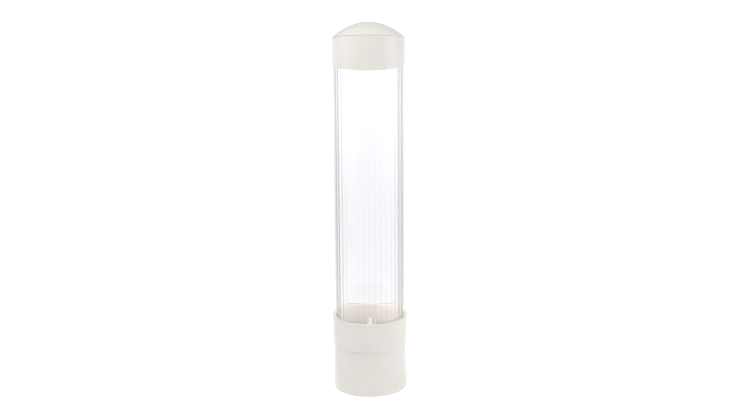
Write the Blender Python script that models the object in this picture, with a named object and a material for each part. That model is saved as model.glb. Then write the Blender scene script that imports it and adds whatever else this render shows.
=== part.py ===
"""Cup dispenser: a clear tube under an arched cap, held in a collar over an adjusting ring.

The cups hang on six hinged fingers below the tube. Turning the ring drives spiral ramps
against the fingers' followers and swings their noses in under a smaller cup rim.
Lengths are in metres, +Z is up, the origin is on the tube's axis at the foot of the ring.
"""
import math

import bmesh
import bpy
from mathutils import Matrix

# Fits and mesh settings
CLEARANCE = 0.0003
OVERRUN = 0.0020
SINK = 0.0004
MERGE_DISTANCE = 0.000001
SEGMENTS = 60
SMALL_SEGMENTS = 12
SHARP_ANGLE = 32.0

# Clear tube
TUBE_OUTER_RADIUS = 0.0423
TUBE_WALL = 0.0015
TUBE_LENGTH = 0.3519
FLUTE_COUNT = 36
FLUTE_HEIGHT = 0.0005
FLUTE_BASE_WIDTH = 0.0012
FLUTE_TIP_WIDTH = 0.0005

# Gasket under the tube
GASKET_THICKNESS = 0.0010
GASKET_WIDTH = 0.0022

# Collar
COLLAR_GAP = 0.0014
COLLAR_WALL = 0.0020
COLLAR_HEIGHT = 0.0377
COLLAR_EDGE_CHAMFER = 0.0004
LIP_OVERHANG = 0.0006
LIP_HALF_HEIGHT = 0.0018
LIP_STEPS = 8
SHELF_OFFSET = 0.0015
SHELF_THICKNESS = 0.0030
SHELF_REACH = 0.0023

# Centring ribs in the collar
CENTRING_RIB_COUNT = 6
CENTRING_RIB_WIDTH = 0.0020
CENTRING_RIB_DROP = 0.0082
CENTRING_RIB_LEAD = 0.0030

# Mounting block on the collar's back
BLOCK_HALF_WIDTH = 0.0308
BLOCK_DROP = 0.0022
BLOCK_WALL = 0.0015
BLOCK_ARC_STEPS = 10
POCKET_WALL = 0.0020
POCKET_SKIN = 0.0004
POCKET_MOUTH = 0.0012
POCKET_ARC_STEPS = 5

# Keyhole in the collar's back
KEYHOLE_RADIUS = 0.0030
KEYHOLE_SLOT_HALF_WIDTH = 0.0013
KEYHOLE_SLOT_RISE = 0.0075
KEYHOLE_STEPS = 14

# Adhesive strips on the block
PAD_THICKNESS = 0.0008
PAD_INNER_EDGE = 0.0130
PAD_SIDE_MARGIN = 0.0028
PAD_TOP_MARGIN = 0.0035
PAD_FOOT_MARGIN = 0.0030

# Adjusting ring
RING_STEP = 0.0007
RING_WALL = 0.0020
RING_HEIGHT = 0.0572
RING_EDGE_CHAMFER = 0.0006
RING_FLANGE_THICKNESS = 0.0024
RING_TRAVEL = 40.0

# Spiral ramps inside the ring
RAMP_MIDDLE_HEIGHT = 0.0200
RAMP_HEIGHT = 0.0060
RAMP_CLEARANCE = 0.0005
RAMP_LEAD_ANGLE = 4.0
RAMP_STEPS = 12

# Turning stops between ring and carrier
STOP_COUNT = 2
STOP_ANGLE = 8.0
STOP_PLAY_ANGLE = 0.4
STOP_STEPS = 8

# Finger carrier
CARRIER_STEP = 0.0005
CARRIER_NECK_WALL = 0.0032
CARRIER_FLANGE_THICKNESS = 0.0020
WASHER_THICKNESS = 0.0005

# Fingers and their pins
FINGER_COUNT = 6
PIVOT_DROP = 0.0057
KNUCKLE_RADIUS = 0.0019
KNUCKLE_STEPS = 10
PIN_RADIUS = 0.0010
PIN_HEAD_RADIUS = 0.0015
PIN_HEAD_LENGTH = 0.0008
LUG_THICKNESS = 0.0020
FINGER_WIDTH = 0.0100
FINGER_THICKNESS = 0.0020
FINGER_FOOT_HEIGHT = 0.0090
FINGER_SWING = 8.0
NOSE_PROJECTION = 0.0019
NOSE_LAND = 0.0022
NOSE_TOP_SLOPE = 0.0055
NOSE_BOTTOM_SLOPE = 0.0018
FOLLOWER_GAP = 0.0007
FOLLOWER_HEIGHT = 0.0030
FOLLOWER_BASE_WIDTH = 0.0030
FOLLOWER_TIP_WIDTH = 0.0016

# Screws that hold the carrier to the collar
SCREW_COUNT = 3
SCREW_RADIUS = 0.0009
SCREW_HEAD_RADIUS = 0.0015
SCREW_HEAD_LENGTH = 0.0010
SCREW_ROOF = 0.0010

# Cap
CAP_SKIRT_OVERLAP = 0.0090
CAP_SKIRT_WALL = 0.00085
CAP_FLARE = 0.0002
CAP_EDGE_CHAMFER = 0.0004
CAP_BAND_HEIGHT = 0.0318
CAP_WALL = 0.0014
CAP_FIT = 0.00035
CAP_ARCH_RISE = 0.0096
ARCH_BLEND_SHARE = 0.15
SHOULDER_THICKNESS = 0.0015
PLUG_DEPTH = 0.0060
PLUG_WALL = 0.0010
PLUG_FIT = 0.0004
SEAL_THICKNESS = 0.0010
SEAL_WIDTH = 0.0020
DOME_RISE = 0.0192
DOME_WALL = 0.0016
DOME_OVERHANG = 0.0003
DOME_EDGE = 0.0005
DOME_STEPS = 8
SPIGOT_DEPTH = 0.0030
SPIGOT_WALL = 0.0009

# Radii that follow from the tube outward and inward
TUBE_BORE_RADIUS = TUBE_OUTER_RADIUS - TUBE_WALL
COLLAR_INNER_RADIUS = TUBE_OUTER_RADIUS + COLLAR_GAP
COLLAR_OUTER_RADIUS = COLLAR_INNER_RADIUS + COLLAR_WALL
BLOCK_BACK = COLLAR_INNER_RADIUS + BLOCK_WALL
SHELF_INNER_RADIUS = TUBE_BORE_RADIUS - SHELF_REACH
CARRIER_INNER_RADIUS = SHELF_INNER_RADIUS - CARRIER_STEP
CARRIER_NECK_RADIUS = CARRIER_INNER_RADIUS + CARRIER_NECK_WALL
RING_OUTER_RADIUS = COLLAR_OUTER_RADIUS - RING_STEP
RING_INNER_RADIUS = RING_OUTER_RADIUS - RING_WALL
RING_FLANGE_RADIUS = CARRIER_NECK_RADIUS + CLEARANCE
CARRIER_FLANGE_RADIUS = RING_INNER_RADIUS - CLEARANCE
PIVOT_RADIUS = CARRIER_INNER_RADIUS + KNUCKLE_RADIUS
SCREW_CIRCLE = CARRIER_INNER_RADIUS + CARRIER_NECK_WALL / 2
SCREW_HOLE_RADIUS = SCREW_RADIUS + CLEARANCE
PIN_HOLE_RADIUS = PIN_RADIUS + CLEARANCE
CAP_SKIRT_RADIUS = TUBE_OUTER_RADIUS + CAP_FIT + CAP_SKIRT_WALL
CAP_TOP_RADIUS = CAP_SKIRT_RADIUS + CAP_FLARE

# Heights that follow from the ring's foot upward
RING_FLANGE_BOTTOM = RING_HEIGHT - RING_FLANGE_THICKNESS
WASHER_BOTTOM = RING_FLANGE_BOTTOM - CLEARANCE - WASHER_THICKNESS
CARRIER_FLANGE_TOP = WASHER_BOTTOM - CLEARANCE
CARRIER_BOTTOM = CARRIER_FLANGE_TOP - CARRIER_FLANGE_THICKNESS
PIVOT_HEIGHT = CARRIER_BOTTOM - PIVOT_DROP
COLLAR_BOTTOM = RING_HEIGHT + CLEARANCE
SHELF_BOTTOM = COLLAR_BOTTOM + SHELF_OFFSET
SHELF_TOP = SHELF_BOTTOM + SHELF_THICKNESS
CARRIER_TOP = SHELF_BOTTOM - CLEARANCE
GASKET_BOTTOM = SHELF_TOP + CLEARANCE
TUBE_BOTTOM = GASKET_BOTTOM + GASKET_THICKNESS + CLEARANCE
TUBE_TOP = TUBE_BOTTOM + TUBE_LENGTH
CAP_BOTTOM = TUBE_TOP - CAP_SKIRT_OVERLAP
SEAL_BOTTOM = TUBE_TOP + CLEARANCE
SHOULDER_BOTTOM = SEAL_BOTTOM + SEAL_THICKNESS + CLEARANCE
DOME_BOTTOM = CAP_BOTTOM + CAP_BAND_HEIGHT + CLEARANCE

# Sizes within single pieces that follow from their neighbours
SHELF_FLOOR = SHELF_OFFSET + SHELF_THICKNESS
BLOCK_HEIGHT = COLLAR_HEIGHT - BLOCK_DROP
KEYHOLE_HEIGHT = SHELF_FLOOR + CLEARANCE + KEYHOLE_RADIUS
CENTRING_RIB_TOP = COLLAR_HEIGHT - CENTRING_RIB_DROP
PAD_WIDTH = BLOCK_HALF_WIDTH - PAD_INNER_EDGE - PAD_SIDE_MARGIN
PAD_HEIGHT = BLOCK_HEIGHT - PAD_FOOT_MARGIN - PAD_TOP_MARGIN
SCREW_BITE = SHELF_THICKNESS - SCREW_ROOF
LUG_INNER_FACE = FINGER_WIDTH / 2 + CLEARANCE
LUG_OUTER_FACE = LUG_INNER_FACE + LUG_THICKNESS
FINGER_REACH = PIVOT_HEIGHT - FINGER_FOOT_HEIGHT
FOLLOWER_DROP = PIVOT_HEIGHT - RAMP_MIDDLE_HEIGHT
FOLLOWER_TIP = RING_INNER_RADIUS - FOLLOWER_GAP - PIVOT_RADIUS


def clear_scene():
    """Remove every object, so the script starts from an empty scene."""
    for item in list(bpy.data.objects):
        bpy.data.objects.remove(item, do_unlink=True)


def make_finish(name, colour, roughness, metallic=0.0, transmission=0.0):
    """One Principled material with its colour, roughness and metallic value."""
    finish = bpy.data.materials.new(name)
    finish.use_nodes = True
    shader = finish.node_tree.nodes["Principled BSDF"]
    shader.inputs["Base Color"].default_value = (*colour, 1.0)
    shader.inputs["Roughness"].default_value = roughness
    shader.inputs["Metallic"].default_value = metallic
    shader.inputs["Transmission Weight"].default_value = transmission
    return finish


def mesh_from(shape):
    """Close a bmesh's seams, turn its faces outward and store it as a mesh."""
    bmesh.ops.remove_doubles(shape, verts=shape.verts, dist=MERGE_DISTANCE)
    bmesh.ops.recalc_face_normals(shape, faces=shape.faces)
    mesh = bpy.data.meshes.new("shape")
    shape.to_mesh(mesh)
    shape.free()
    return mesh


def revolved(profile, closed=True, segments=SEGMENTS):
    """Spin a profile of (radius, height) points once round the Z axis."""
    shape = bmesh.new()
    points = [shape.verts.new((radius, 0.0, height)) for radius, height in profile]
    edges = [shape.edges.new(pair) for pair in zip(points, points[1:])]
    if closed:
        edges.append(shape.edges.new((points[-1], points[0])))
    bmesh.ops.spin(shape, geom=points + edges, cent=(0.0, 0.0, 0.0), axis=(0.0, 0.0, 1.0),
                   angle=math.tau, steps=segments, use_merge=True)
    return mesh_from(shape)


def extruded(outline, travel):
    """Extrude a flat outline of 3-D points along a vector."""
    shape = bmesh.new()
    face = shape.faces.new([shape.verts.new(point) for point in outline])
    grown = bmesh.ops.extrude_face_region(shape, geom=[face])["geom"]
    corners = [item for item in grown if isinstance(item, bmesh.types.BMVert)]
    bmesh.ops.translate(shape, verts=corners, vec=travel)
    return mesh_from(shape)


def box(low, high):
    """Rectangular block between two opposite corners."""
    outline = [(low[0], low[1], low[2]), (high[0], low[1], low[2]),
               (high[0], high[1], low[2]), (low[0], high[1], low[2])]
    return extruded(outline, (0.0, 0.0, high[2] - low[2]))


def post(radius, low, high, segments=SMALL_SEGMENTS):
    """Upright round post on the Z axis."""
    return revolved([(0.0, low), (radius, low), (radius, high), (0.0, high)], False, segments)


def moved(mesh, matrix):
    """The same mesh after a move or a turn."""
    mesh.transform(matrix)
    return mesh


def joined(meshes):
    """Several separate bodies in one mesh."""
    shape = bmesh.new()
    for mesh in meshes:
        shape.from_mesh(mesh)
        bpy.data.meshes.remove(mesh)
    return mesh_from(shape)


def around(make_mesh, count, start=0.0):
    """Copies of a shape at even turns about the Z axis, from a start angle in degrees."""
    turns = [math.radians(start) + math.tau * number / count for number in range(count)]
    return joined([moved(make_mesh(), Matrix.Rotation(turn, 4, "Z")) for turn in turns])


def combined(base, tool, operation):
    """Union with, or cut by, another closed mesh."""
    holders = [bpy.data.objects.new("operand", mesh) for mesh in (base, tool)]
    for holder in holders:
        bpy.context.collection.objects.link(holder)
    step = holders[0].modifiers.new("step", "BOOLEAN")
    step.operation = operation
    step.solver = "EXACT"
    step.object = holders[1]
    view = bpy.context.evaluated_depsgraph_get()
    result = bpy.data.meshes.new_from_object(holders[0].evaluated_get(view))
    for holder in holders:
        bpy.data.objects.remove(holder, do_unlink=True)
    for mesh in (base, tool):
        bpy.data.meshes.remove(mesh)
    shape = bmesh.new()
    shape.from_mesh(result)
    bpy.data.meshes.remove(result)
    return mesh_from(shape)


def add_piece(name, mesh, finish, parent, location=(0.0, 0.0, 0.0), turn=0.0):
    """Put a named, smooth-shaded piece under its parent."""
    mesh.name = name
    mesh.materials.clear()
    mesh.materials.append(finish)
    mesh.shade_smooth()
    mesh.set_sharp_from_angle(angle=math.radians(SHARP_ANGLE))
    piece = bpy.data.objects.new(name, mesh)
    piece.location = location
    piece.rotation_euler = (0.0, 0.0, turn)
    piece.parent = parent
    bpy.context.collection.objects.link(piece)
    return piece


def add_frame(name):
    """Empty on the tube's axis that carries one group of pieces."""
    frame = bpy.data.objects.new(name, None)
    bpy.context.collection.objects.link(frame)
    return frame


def on_circle(radius, angle, height=0.0):
    """Point at a radius and an angle in radians."""
    return (radius * math.cos(angle), radius * math.sin(angle), height)


def arc(radius, start, end, steps, height=0.0):
    """Points along an arc about the Z axis, angles in radians."""
    return [on_circle(radius, start + (end - start) * step / steps, height)
            for step in range(steps + 1)]


def flat_ring(inner, outer, thickness):
    """Plain ring with a rectangular section."""
    return revolved([(outer, 0.0), (outer, thickness), (inner, thickness), (inner, 0.0)])


# Clear tube

def tube_mesh():
    """Extruded tube, smooth outside, with fine flutes standing in from the bore."""
    base = FLUTE_BASE_WIDTH / TUBE_BORE_RADIUS / 2
    tip = FLUTE_TIP_WIDTH / TUBE_BORE_RADIUS / 2
    pitch = math.tau / FLUTE_COUNT
    crest = TUBE_BORE_RADIUS - FLUTE_HEIGHT
    section = [(-base, TUBE_BORE_RADIUS), (-tip, crest), (tip, crest), (base, TUBE_BORE_RADIUS),
               (pitch / 2, TUBE_BORE_RADIUS)]
    shape = bmesh.new()
    inner = [shape.verts.new(on_circle(radius, number * pitch + offset))
             for number in range(FLUTE_COUNT) for offset, radius in section]
    count = len(inner)
    lead = len(section) // 2
    outer = [shape.verts.new(on_circle(TUBE_OUTER_RADIUS, math.tau * (number - lead + 1) / count))
             for number in range(count)]
    faces = [shape.faces.new((inner[number - 1], inner[number], outer[number], outer[number - 1]))
             for number in range(count)]
    grown = bmesh.ops.extrude_face_region(shape, geom=faces)["geom"]
    corners = [item for item in grown if isinstance(item, bmesh.types.BMVert)]
    bmesh.ops.translate(shape, verts=corners, vec=(0.0, 0.0, TUBE_LENGTH))
    return mesh_from(shape)


# Collar with its rolled lip, shelf, back block and keyhole

def lip_points():
    """Rolled lip: an elliptical bead that rounds over from the outer to the inner wall."""
    middle = (COLLAR_OUTER_RADIUS + COLLAR_INNER_RADIUS) / 2
    half_width = COLLAR_WALL / 2 + LIP_OVERHANG
    start = -math.acos((COLLAR_OUTER_RADIUS - middle) / half_width)
    end = math.acos((COLLAR_INNER_RADIUS - middle) / half_width)
    centre = COLLAR_HEIGHT - LIP_HALF_HEIGHT
    turns = [start + (end - start) * step / LIP_STEPS for step in range(LIP_STEPS + 1)]
    return [(middle + half_width * math.cos(turn), centre + LIP_HALF_HEIGHT * math.sin(turn))
            for turn in turns]


def collar_shell():
    """Turned shell: outer wall, lip, inner wall and the shelf that the tube stands on."""
    chamfer = COLLAR_EDGE_CHAMFER
    profile = [(COLLAR_OUTER_RADIUS - chamfer, 0.0), (COLLAR_OUTER_RADIUS, chamfer)] + lip_points()
    profile += [(COLLAR_INNER_RADIUS, SHELF_FLOOR), (SHELF_INNER_RADIUS, SHELF_FLOOR),
                (SHELF_INNER_RADIUS, SHELF_OFFSET), (COLLAR_INNER_RADIUS, SHELF_OFFSET),
                (COLLAR_INNER_RADIUS, 0.0)]
    return revolved(profile)


def back_block():
    """Block with a flat back, grown from the middle of the collar's wall."""
    middle = (COLLAR_OUTER_RADIUS + COLLAR_INNER_RADIUS) / 2
    edge = math.acos(BLOCK_HALF_WIDTH / middle)
    outline = [(-BLOCK_HALF_WIDTH, BLOCK_BACK, 0.0), (BLOCK_HALF_WIDTH, BLOCK_BACK, 0.0)]
    outline += arc(middle, edge, math.pi - edge, BLOCK_ARC_STEPS)
    return extruded(outline, (0.0, 0.0, BLOCK_HEIGHT))


def lip_relief():
    """Space above the block, where the collar's lip stops."""
    front = math.sqrt(COLLAR_INNER_RADIUS ** 2 - BLOCK_HALF_WIDTH ** 2) - OVERRUN
    low = (-BLOCK_HALF_WIDTH, front, BLOCK_HEIGHT)
    high = (BLOCK_HALF_WIDTH, COLLAR_OUTER_RADIUS + OVERRUN, COLLAR_HEIGHT + OVERRUN)
    return box(low, high)


def core_pocket(side):
    """Core taken out of the block from below, on one side of the keyhole."""
    outer_edge = BLOCK_HALF_WIDTH - POCKET_WALL
    back = BLOCK_BACK - POCKET_WALL
    reach = COLLAR_OUTER_RADIUS + POCKET_SKIN
    start = math.acos(outer_edge / reach)
    end = math.asin((back - POCKET_MOUTH) / reach)
    outline = [(reach * math.cos(end), back, -OVERRUN), (outer_edge, back, -OVERRUN)]
    outline += arc(reach, start, end, POCKET_ARC_STEPS, -OVERRUN)
    outline = [(side * x, y, z) for x, y, z in outline]
    return extruded(outline, (0.0, 0.0, BLOCK_HEIGHT - POCKET_WALL + OVERRUN))


def keyhole():
    """Hanging hole: a round entry with a narrow slot above it."""
    lean = math.asin(KEYHOLE_SLOT_HALF_WIDTH / KEYHOLE_RADIUS)
    start = math.pi / 2 + lean
    sweep = math.tau - 2 * lean
    front = COLLAR_INNER_RADIUS - OVERRUN / 2
    outline = []
    for step in range(KEYHOLE_STEPS + 1):
        turn = start + sweep * step / KEYHOLE_STEPS
        outline.append((KEYHOLE_RADIUS * math.cos(turn), front,
                        KEYHOLE_HEIGHT + KEYHOLE_RADIUS * math.sin(turn)))
    top = KEYHOLE_HEIGHT + KEYHOLE_SLOT_RISE
    steps = KEYHOLE_STEPS // 2
    for step in range(steps + 1):
        turn = math.pi * step / steps
        outline.append((KEYHOLE_SLOT_HALF_WIDTH * math.cos(turn), front,
                        top + KEYHOLE_SLOT_HALF_WIDTH * math.sin(turn)))
    return extruded(outline, (0.0, BLOCK_BACK - front + OVERRUN, 0.0))


def centring_rib():
    """One upright rib that holds the tube central, with a sloped lead-in."""
    tip = TUBE_OUTER_RADIUS + CLEARANCE
    root = COLLAR_INNER_RADIUS + SINK
    bottom = SHELF_FLOOR - SINK
    side = -CENTRING_RIB_WIDTH / 2
    outline = [(root, side, bottom), (tip, side, bottom),
               (tip, side, CENTRING_RIB_TOP - CENTRING_RIB_LEAD), (root, side, CENTRING_RIB_TOP)]
    return extruded(outline, (0.0, CENTRING_RIB_WIDTH, 0.0))


def collar_screw_hole():
    """Blind pilot hole in the underside of the shelf."""
    hole = post(SCREW_HOLE_RADIUS, SHELF_OFFSET - OVERRUN, SHELF_OFFSET + SCREW_BITE + CLEARANCE)
    return moved(hole, Matrix.Translation((SCREW_CIRCLE, 0.0, 0.0)))


def collar_mesh():
    """The whole collar, on its own foot."""
    mesh = combined(collar_shell(), lip_relief(), "DIFFERENCE")
    mesh = combined(mesh, back_block(), "UNION")
    mesh = combined(mesh, joined([core_pocket(-1), core_pocket(1)]), "DIFFERENCE")
    mesh = combined(mesh, around(centring_rib, CENTRING_RIB_COUNT), "UNION")
    mesh = combined(mesh, keyhole(), "DIFFERENCE")
    return combined(mesh, around(collar_screw_hole, SCREW_COUNT, screw_start()), "DIFFERENCE")


def screw_start():
    """Screws stand midway between two fingers."""
    return math.degrees(math.tau / FINGER_COUNT / 2)


# Carrier that the fingers hang from

def carrier_shell():
    """Turned neck with the flange that the ring rides on."""
    height = CARRIER_TOP - CARRIER_BOTTOM
    return revolved([(CARRIER_INNER_RADIUS, 0.0), (CARRIER_FLANGE_RADIUS, 0.0),
                     (CARRIER_FLANGE_RADIUS, CARRIER_FLANGE_THICKNESS),
                     (CARRIER_NECK_RADIUS, CARRIER_FLANGE_THICKNESS),
                     (CARRIER_NECK_RADIUS, height), (CARRIER_INNER_RADIUS, height)])


def finger_lug(side):
    """Ear with a round foot that carries one end of a hinge pin."""
    outline = [(PIVOT_RADIUS + KNUCKLE_RADIUS, 0.0, SINK), (PIVOT_RADIUS - KNUCKLE_RADIUS, 0.0, SINK)]
    for step in range(KNUCKLE_STEPS + 1):
        turn = math.pi + math.pi * step / KNUCKLE_STEPS
        outline.append((PIVOT_RADIUS + KNUCKLE_RADIUS * math.cos(turn), 0.0,
                        -PIVOT_DROP + KNUCKLE_RADIUS * math.sin(turn)))
    lug = extruded(outline, (0.0, LUG_THICKNESS, 0.0))
    offset = LUG_INNER_FACE if side > 0 else -LUG_OUTER_FACE
    return moved(lug, Matrix.Translation((0.0, offset, 0.0)))


def lug_pair():
    """Two ears, one on each side of a finger."""
    return joined([finger_lug(-1), finger_lug(1)])


def pin_bore():
    """Cross hole through both ears of one finger."""
    reach = LUG_OUTER_FACE + OVERRUN
    bore = moved(post(PIN_HOLE_RADIUS, -reach, reach), Matrix.Rotation(math.pi / 2, 4, "X"))
    return moved(bore, Matrix.Translation((PIVOT_RADIUS, 0.0, -PIVOT_DROP)))


def stop_tab():
    """Tab on the neck that ends the ring's turn both ways."""
    half = math.radians(STOP_ANGLE) / 2
    low = WASHER_BOTTOM + WASHER_THICKNESS + CLEARANCE - CARRIER_BOTTOM
    outline = arc(CARRIER_NECK_RADIUS - SINK, -half, half, STOP_STEPS, low)
    outline += arc(RING_INNER_RADIUS - CLEARANCE, half, -half, STOP_STEPS, low)
    return extruded(outline, (0.0, 0.0, RING_FLANGE_THICKNESS - CLEARANCE))


def carrier_screw_hole():
    """Through hole in the neck."""
    hole = post(SCREW_HOLE_RADIUS, -OVERRUN, CARRIER_TOP - CARRIER_BOTTOM + OVERRUN)
    return moved(hole, Matrix.Translation((SCREW_CIRCLE, 0.0, 0.0)))


def carrier_mesh():
    """Neck, flange, ears, stops and holes."""
    mesh = combined(carrier_shell(), around(lug_pair, FINGER_COUNT), "UNION")
    mesh = combined(mesh, around(stop_tab, STOP_COUNT, stop_start()), "UNION")
    mesh = combined(mesh, around(pin_bore, FINGER_COUNT), "DIFFERENCE")
    return combined(mesh, around(carrier_screw_hole, SCREW_COUNT, screw_start()), "DIFFERENCE")


def stop_start():
    """The stops stand a quarter turn from the first finger."""
    return math.degrees(math.tau / 4)


def screw_mesh():
    """Pan-head screw, driven up through the carrier into the shelf."""
    head_top = -CLEARANCE
    head_bottom = head_top - SCREW_HEAD_LENGTH
    tip = CARRIER_TOP - CARRIER_BOTTOM + CLEARANCE + SCREW_BITE
    profile = [(0.0, head_bottom), (SCREW_HEAD_RADIUS, head_bottom), (SCREW_HEAD_RADIUS, head_top),
               (SCREW_RADIUS, head_top), (SCREW_RADIUS, tip), (0.0, tip)]
    return revolved(profile, False, SMALL_SEGMENTS)


# Adjusting ring with its spiral ramps

def ring_shell():
    """Turned ring with chamfered foot and the flange that hangs on the carrier."""
    chamfer = RING_EDGE_CHAMFER
    return revolved([(RING_OUTER_RADIUS - chamfer, 0.0), (RING_OUTER_RADIUS, chamfer),
                     (RING_OUTER_RADIUS, RING_HEIGHT - chamfer),
                     (RING_OUTER_RADIUS - chamfer, RING_HEIGHT), (RING_FLANGE_RADIUS, RING_HEIGHT),
                     (RING_FLANGE_RADIUS, RING_FLANGE_BOTTOM), (RING_INNER_RADIUS, RING_FLANGE_BOTTOM),
                     (RING_INNER_RADIUS, 0.0)])


def ramp_radius(turn):
    """Radius of the ramp's face where the follower meets it after a turn of the ring."""
    swing = turn * FINGER_SWING / RING_TRAVEL
    follower = PIVOT_RADIUS + FOLLOWER_TIP * math.cos(swing) - FOLLOWER_DROP * math.sin(swing)
    return follower + RAMP_CLEARANCE


def spiral_ramp():
    """One ramp, a wedge whose face closes in against the ring's turn."""
    lead = math.radians(RAMP_LEAD_ANGLE)
    travel = math.radians(RING_TRAVEL)
    turns = [-lead + (travel + 2 * lead) * step / RAMP_STEPS for step in range(RAMP_STEPS + 1)]
    low = RAMP_MIDDLE_HEIGHT - RAMP_HEIGHT / 2
    face = [on_circle(min(ramp_radius(turn), RING_INNER_RADIUS - MERGE_DISTANCE), -turn, low)
            for turn in turns]
    back = [on_circle(RING_INNER_RADIUS + RING_WALL / 2, -turn, low) for turn in reversed(turns)]
    return extruded(face + back, (0.0, 0.0, RAMP_HEIGHT))


def stop_notch():
    """Gap in the flange that lets the ring turn about a stop tab."""
    half = math.radians(STOP_ANGLE) / 2 + math.radians(STOP_PLAY_ANGLE)
    start = -math.radians(RING_TRAVEL) - half
    low = RING_FLANGE_BOTTOM - OVERRUN
    outline = arc(RING_FLANGE_RADIUS - OVERRUN, start, half, STOP_STEPS, low)
    outline += arc(RING_INNER_RADIUS, half, start, STOP_STEPS, low)
    return extruded(outline, (0.0, 0.0, RING_FLANGE_THICKNESS + 2 * OVERRUN))


def ring_mesh():
    """Ring, ramps and stop notches."""
    mesh = combined(ring_shell(), around(spiral_ramp, FINGER_COUNT), "UNION")
    return combined(mesh, around(stop_notch, STOP_COUNT, stop_start()), "DIFFERENCE")


# Fingers and hinge pins, made about the pivot with +X outward

def finger_blade():
    """Side outline with a round knuckle at the top and a nose that the cup's rim sits on."""
    half = FINGER_THICKNESS / 2
    bend = math.asin(half / KNUCKLE_RADIUS)
    start = -math.pi / 2 + bend
    sweep = math.tau - 2 * bend
    side = -FINGER_WIDTH / 2
    outline = []
    for step in range(KNUCKLE_STEPS + 1):
        turn = start + sweep * step / KNUCKLE_STEPS
        outline.append((KNUCKLE_RADIUS * math.cos(turn), side, KNUCKLE_RADIUS * math.sin(turn)))
    land_bottom = -FINGER_REACH + NOSE_BOTTOM_SLOPE
    land_top = land_bottom + NOSE_LAND
    nose = -half - NOSE_PROJECTION
    outline += [(-half, side, land_top + NOSE_TOP_SLOPE), (nose, side, land_top),
                (nose, side, land_bottom), (-half, side, -FINGER_REACH), (half, side, -FINGER_REACH)]
    return extruded(outline, (0.0, FINGER_WIDTH, 0.0))


def follower():
    """Tapered pad on the back of the finger that rides on the ramp."""
    root = FINGER_THICKNESS / 2 - SINK
    low = -FOLLOWER_DROP - FOLLOWER_HEIGHT / 2
    outline = [(root, -FOLLOWER_BASE_WIDTH / 2, low), (FOLLOWER_TIP, -FOLLOWER_TIP_WIDTH / 2, low),
               (FOLLOWER_TIP, FOLLOWER_TIP_WIDTH / 2, low), (root, FOLLOWER_BASE_WIDTH / 2, low)]
    return extruded(outline, (0.0, 0.0, FOLLOWER_HEIGHT))


def finger_mesh():
    """Blade, follower and pin bore."""
    mesh = combined(finger_blade(), follower(), "UNION")
    reach = FINGER_WIDTH / 2 + OVERRUN
    bore = moved(post(PIN_HOLE_RADIUS, -reach, reach), Matrix.Rotation(math.pi / 2, 4, "X"))
    return combined(mesh, bore, "DIFFERENCE")


def pin_mesh():
    """Headed hinge pin along Y."""
    end = LUG_OUTER_FACE + CLEARANCE
    profile = [(0.0, -end), (PIN_RADIUS, -end), (PIN_RADIUS, end), (PIN_HEAD_RADIUS, end),
               (PIN_HEAD_RADIUS, end + PIN_HEAD_LENGTH), (0.0, end + PIN_HEAD_LENGTH)]
    return moved(revolved(profile, False, SMALL_SEGMENTS), Matrix.Rotation(-math.pi / 2, 4, "X"))


# Cap

def lift_to_arch(mesh, floor):
    """Raise what lies above a floor to the arched parting line: full at the front, nothing behind."""
    blend = ARCH_BLEND_SHARE
    for vertex in mesh.vertices:
        radius = math.hypot(vertex.co.x, vertex.co.y)
        if radius > MERGE_DISTANCE and vertex.co.z > floor:
            front = -vertex.co.y / radius
            share = (front + math.hypot(front, blend)) / (1 + math.hypot(1, blend))
            vertex.co.z += CAP_ARCH_RISE * share * (radius / CAP_TOP_RADIUS) ** 2
    return mesh


def band_mesh():
    """Skirt over the tube, shoulder and plug, with a wall that rises to the arched rim."""
    skirt_inner = TUBE_OUTER_RADIUS + CAP_FIT
    plug_outer = TUBE_BORE_RADIUS - FLUTE_HEIGHT - PLUG_FIT
    plug_inner = plug_outer - PLUG_WALL
    shoulder_low = SHOULDER_BOTTOM - CAP_BOTTOM
    shoulder_high = shoulder_low + SHOULDER_THICKNESS
    plug_low = CAP_SKIRT_OVERLAP - PLUG_DEPTH
    wall_inner = CAP_TOP_RADIUS - CAP_WALL
    chamfer = CAP_EDGE_CHAMFER
    mesh = revolved([(CAP_SKIRT_RADIUS - chamfer, 0.0), (CAP_SKIRT_RADIUS, chamfer),
                     (CAP_TOP_RADIUS, CAP_BAND_HEIGHT - chamfer),
                     (CAP_TOP_RADIUS - chamfer, CAP_BAND_HEIGHT),
                     (wall_inner, CAP_BAND_HEIGHT), (wall_inner, shoulder_high),
                     (plug_inner, shoulder_high), (plug_inner, plug_low), (plug_outer, plug_low),
                     (plug_outer, shoulder_low), (skirt_inner, shoulder_low), (skirt_inner, 0.0)])
    return lift_to_arch(mesh, (shoulder_high + CAP_BAND_HEIGHT) / 2)


def dome_mesh():
    """Crowned lid whose edge follows the band's arched rim, with a spigot inside the band."""
    spigot_outer = CAP_TOP_RADIUS - CAP_WALL - CLEARANCE
    spigot_inner = spigot_outer - SPIGOT_WALL

    rim = CAP_TOP_RADIUS + DOME_OVERHANG

    def crown(radius):
        return DOME_EDGE + (DOME_RISE - DOME_EDGE) * (1 - (radius / rim) ** 2)

    outer = [rim * step / DOME_STEPS for step in range(DOME_STEPS + 1)]
    inner = [spigot_inner * step / DOME_STEPS for step in range(DOME_STEPS, -1, -1)]
    profile = [(radius, crown(radius)) for radius in outer] + [(rim, 0.0)]
    profile += [(spigot_outer, 0.0), (spigot_outer, -SPIGOT_DEPTH), (spigot_inner, -SPIGOT_DEPTH)]
    profile += [(radius, crown(radius) - DOME_WALL) for radius in inner]
    return lift_to_arch(revolved(profile, False), -SPIGOT_DEPTH - CLEARANCE)


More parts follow.
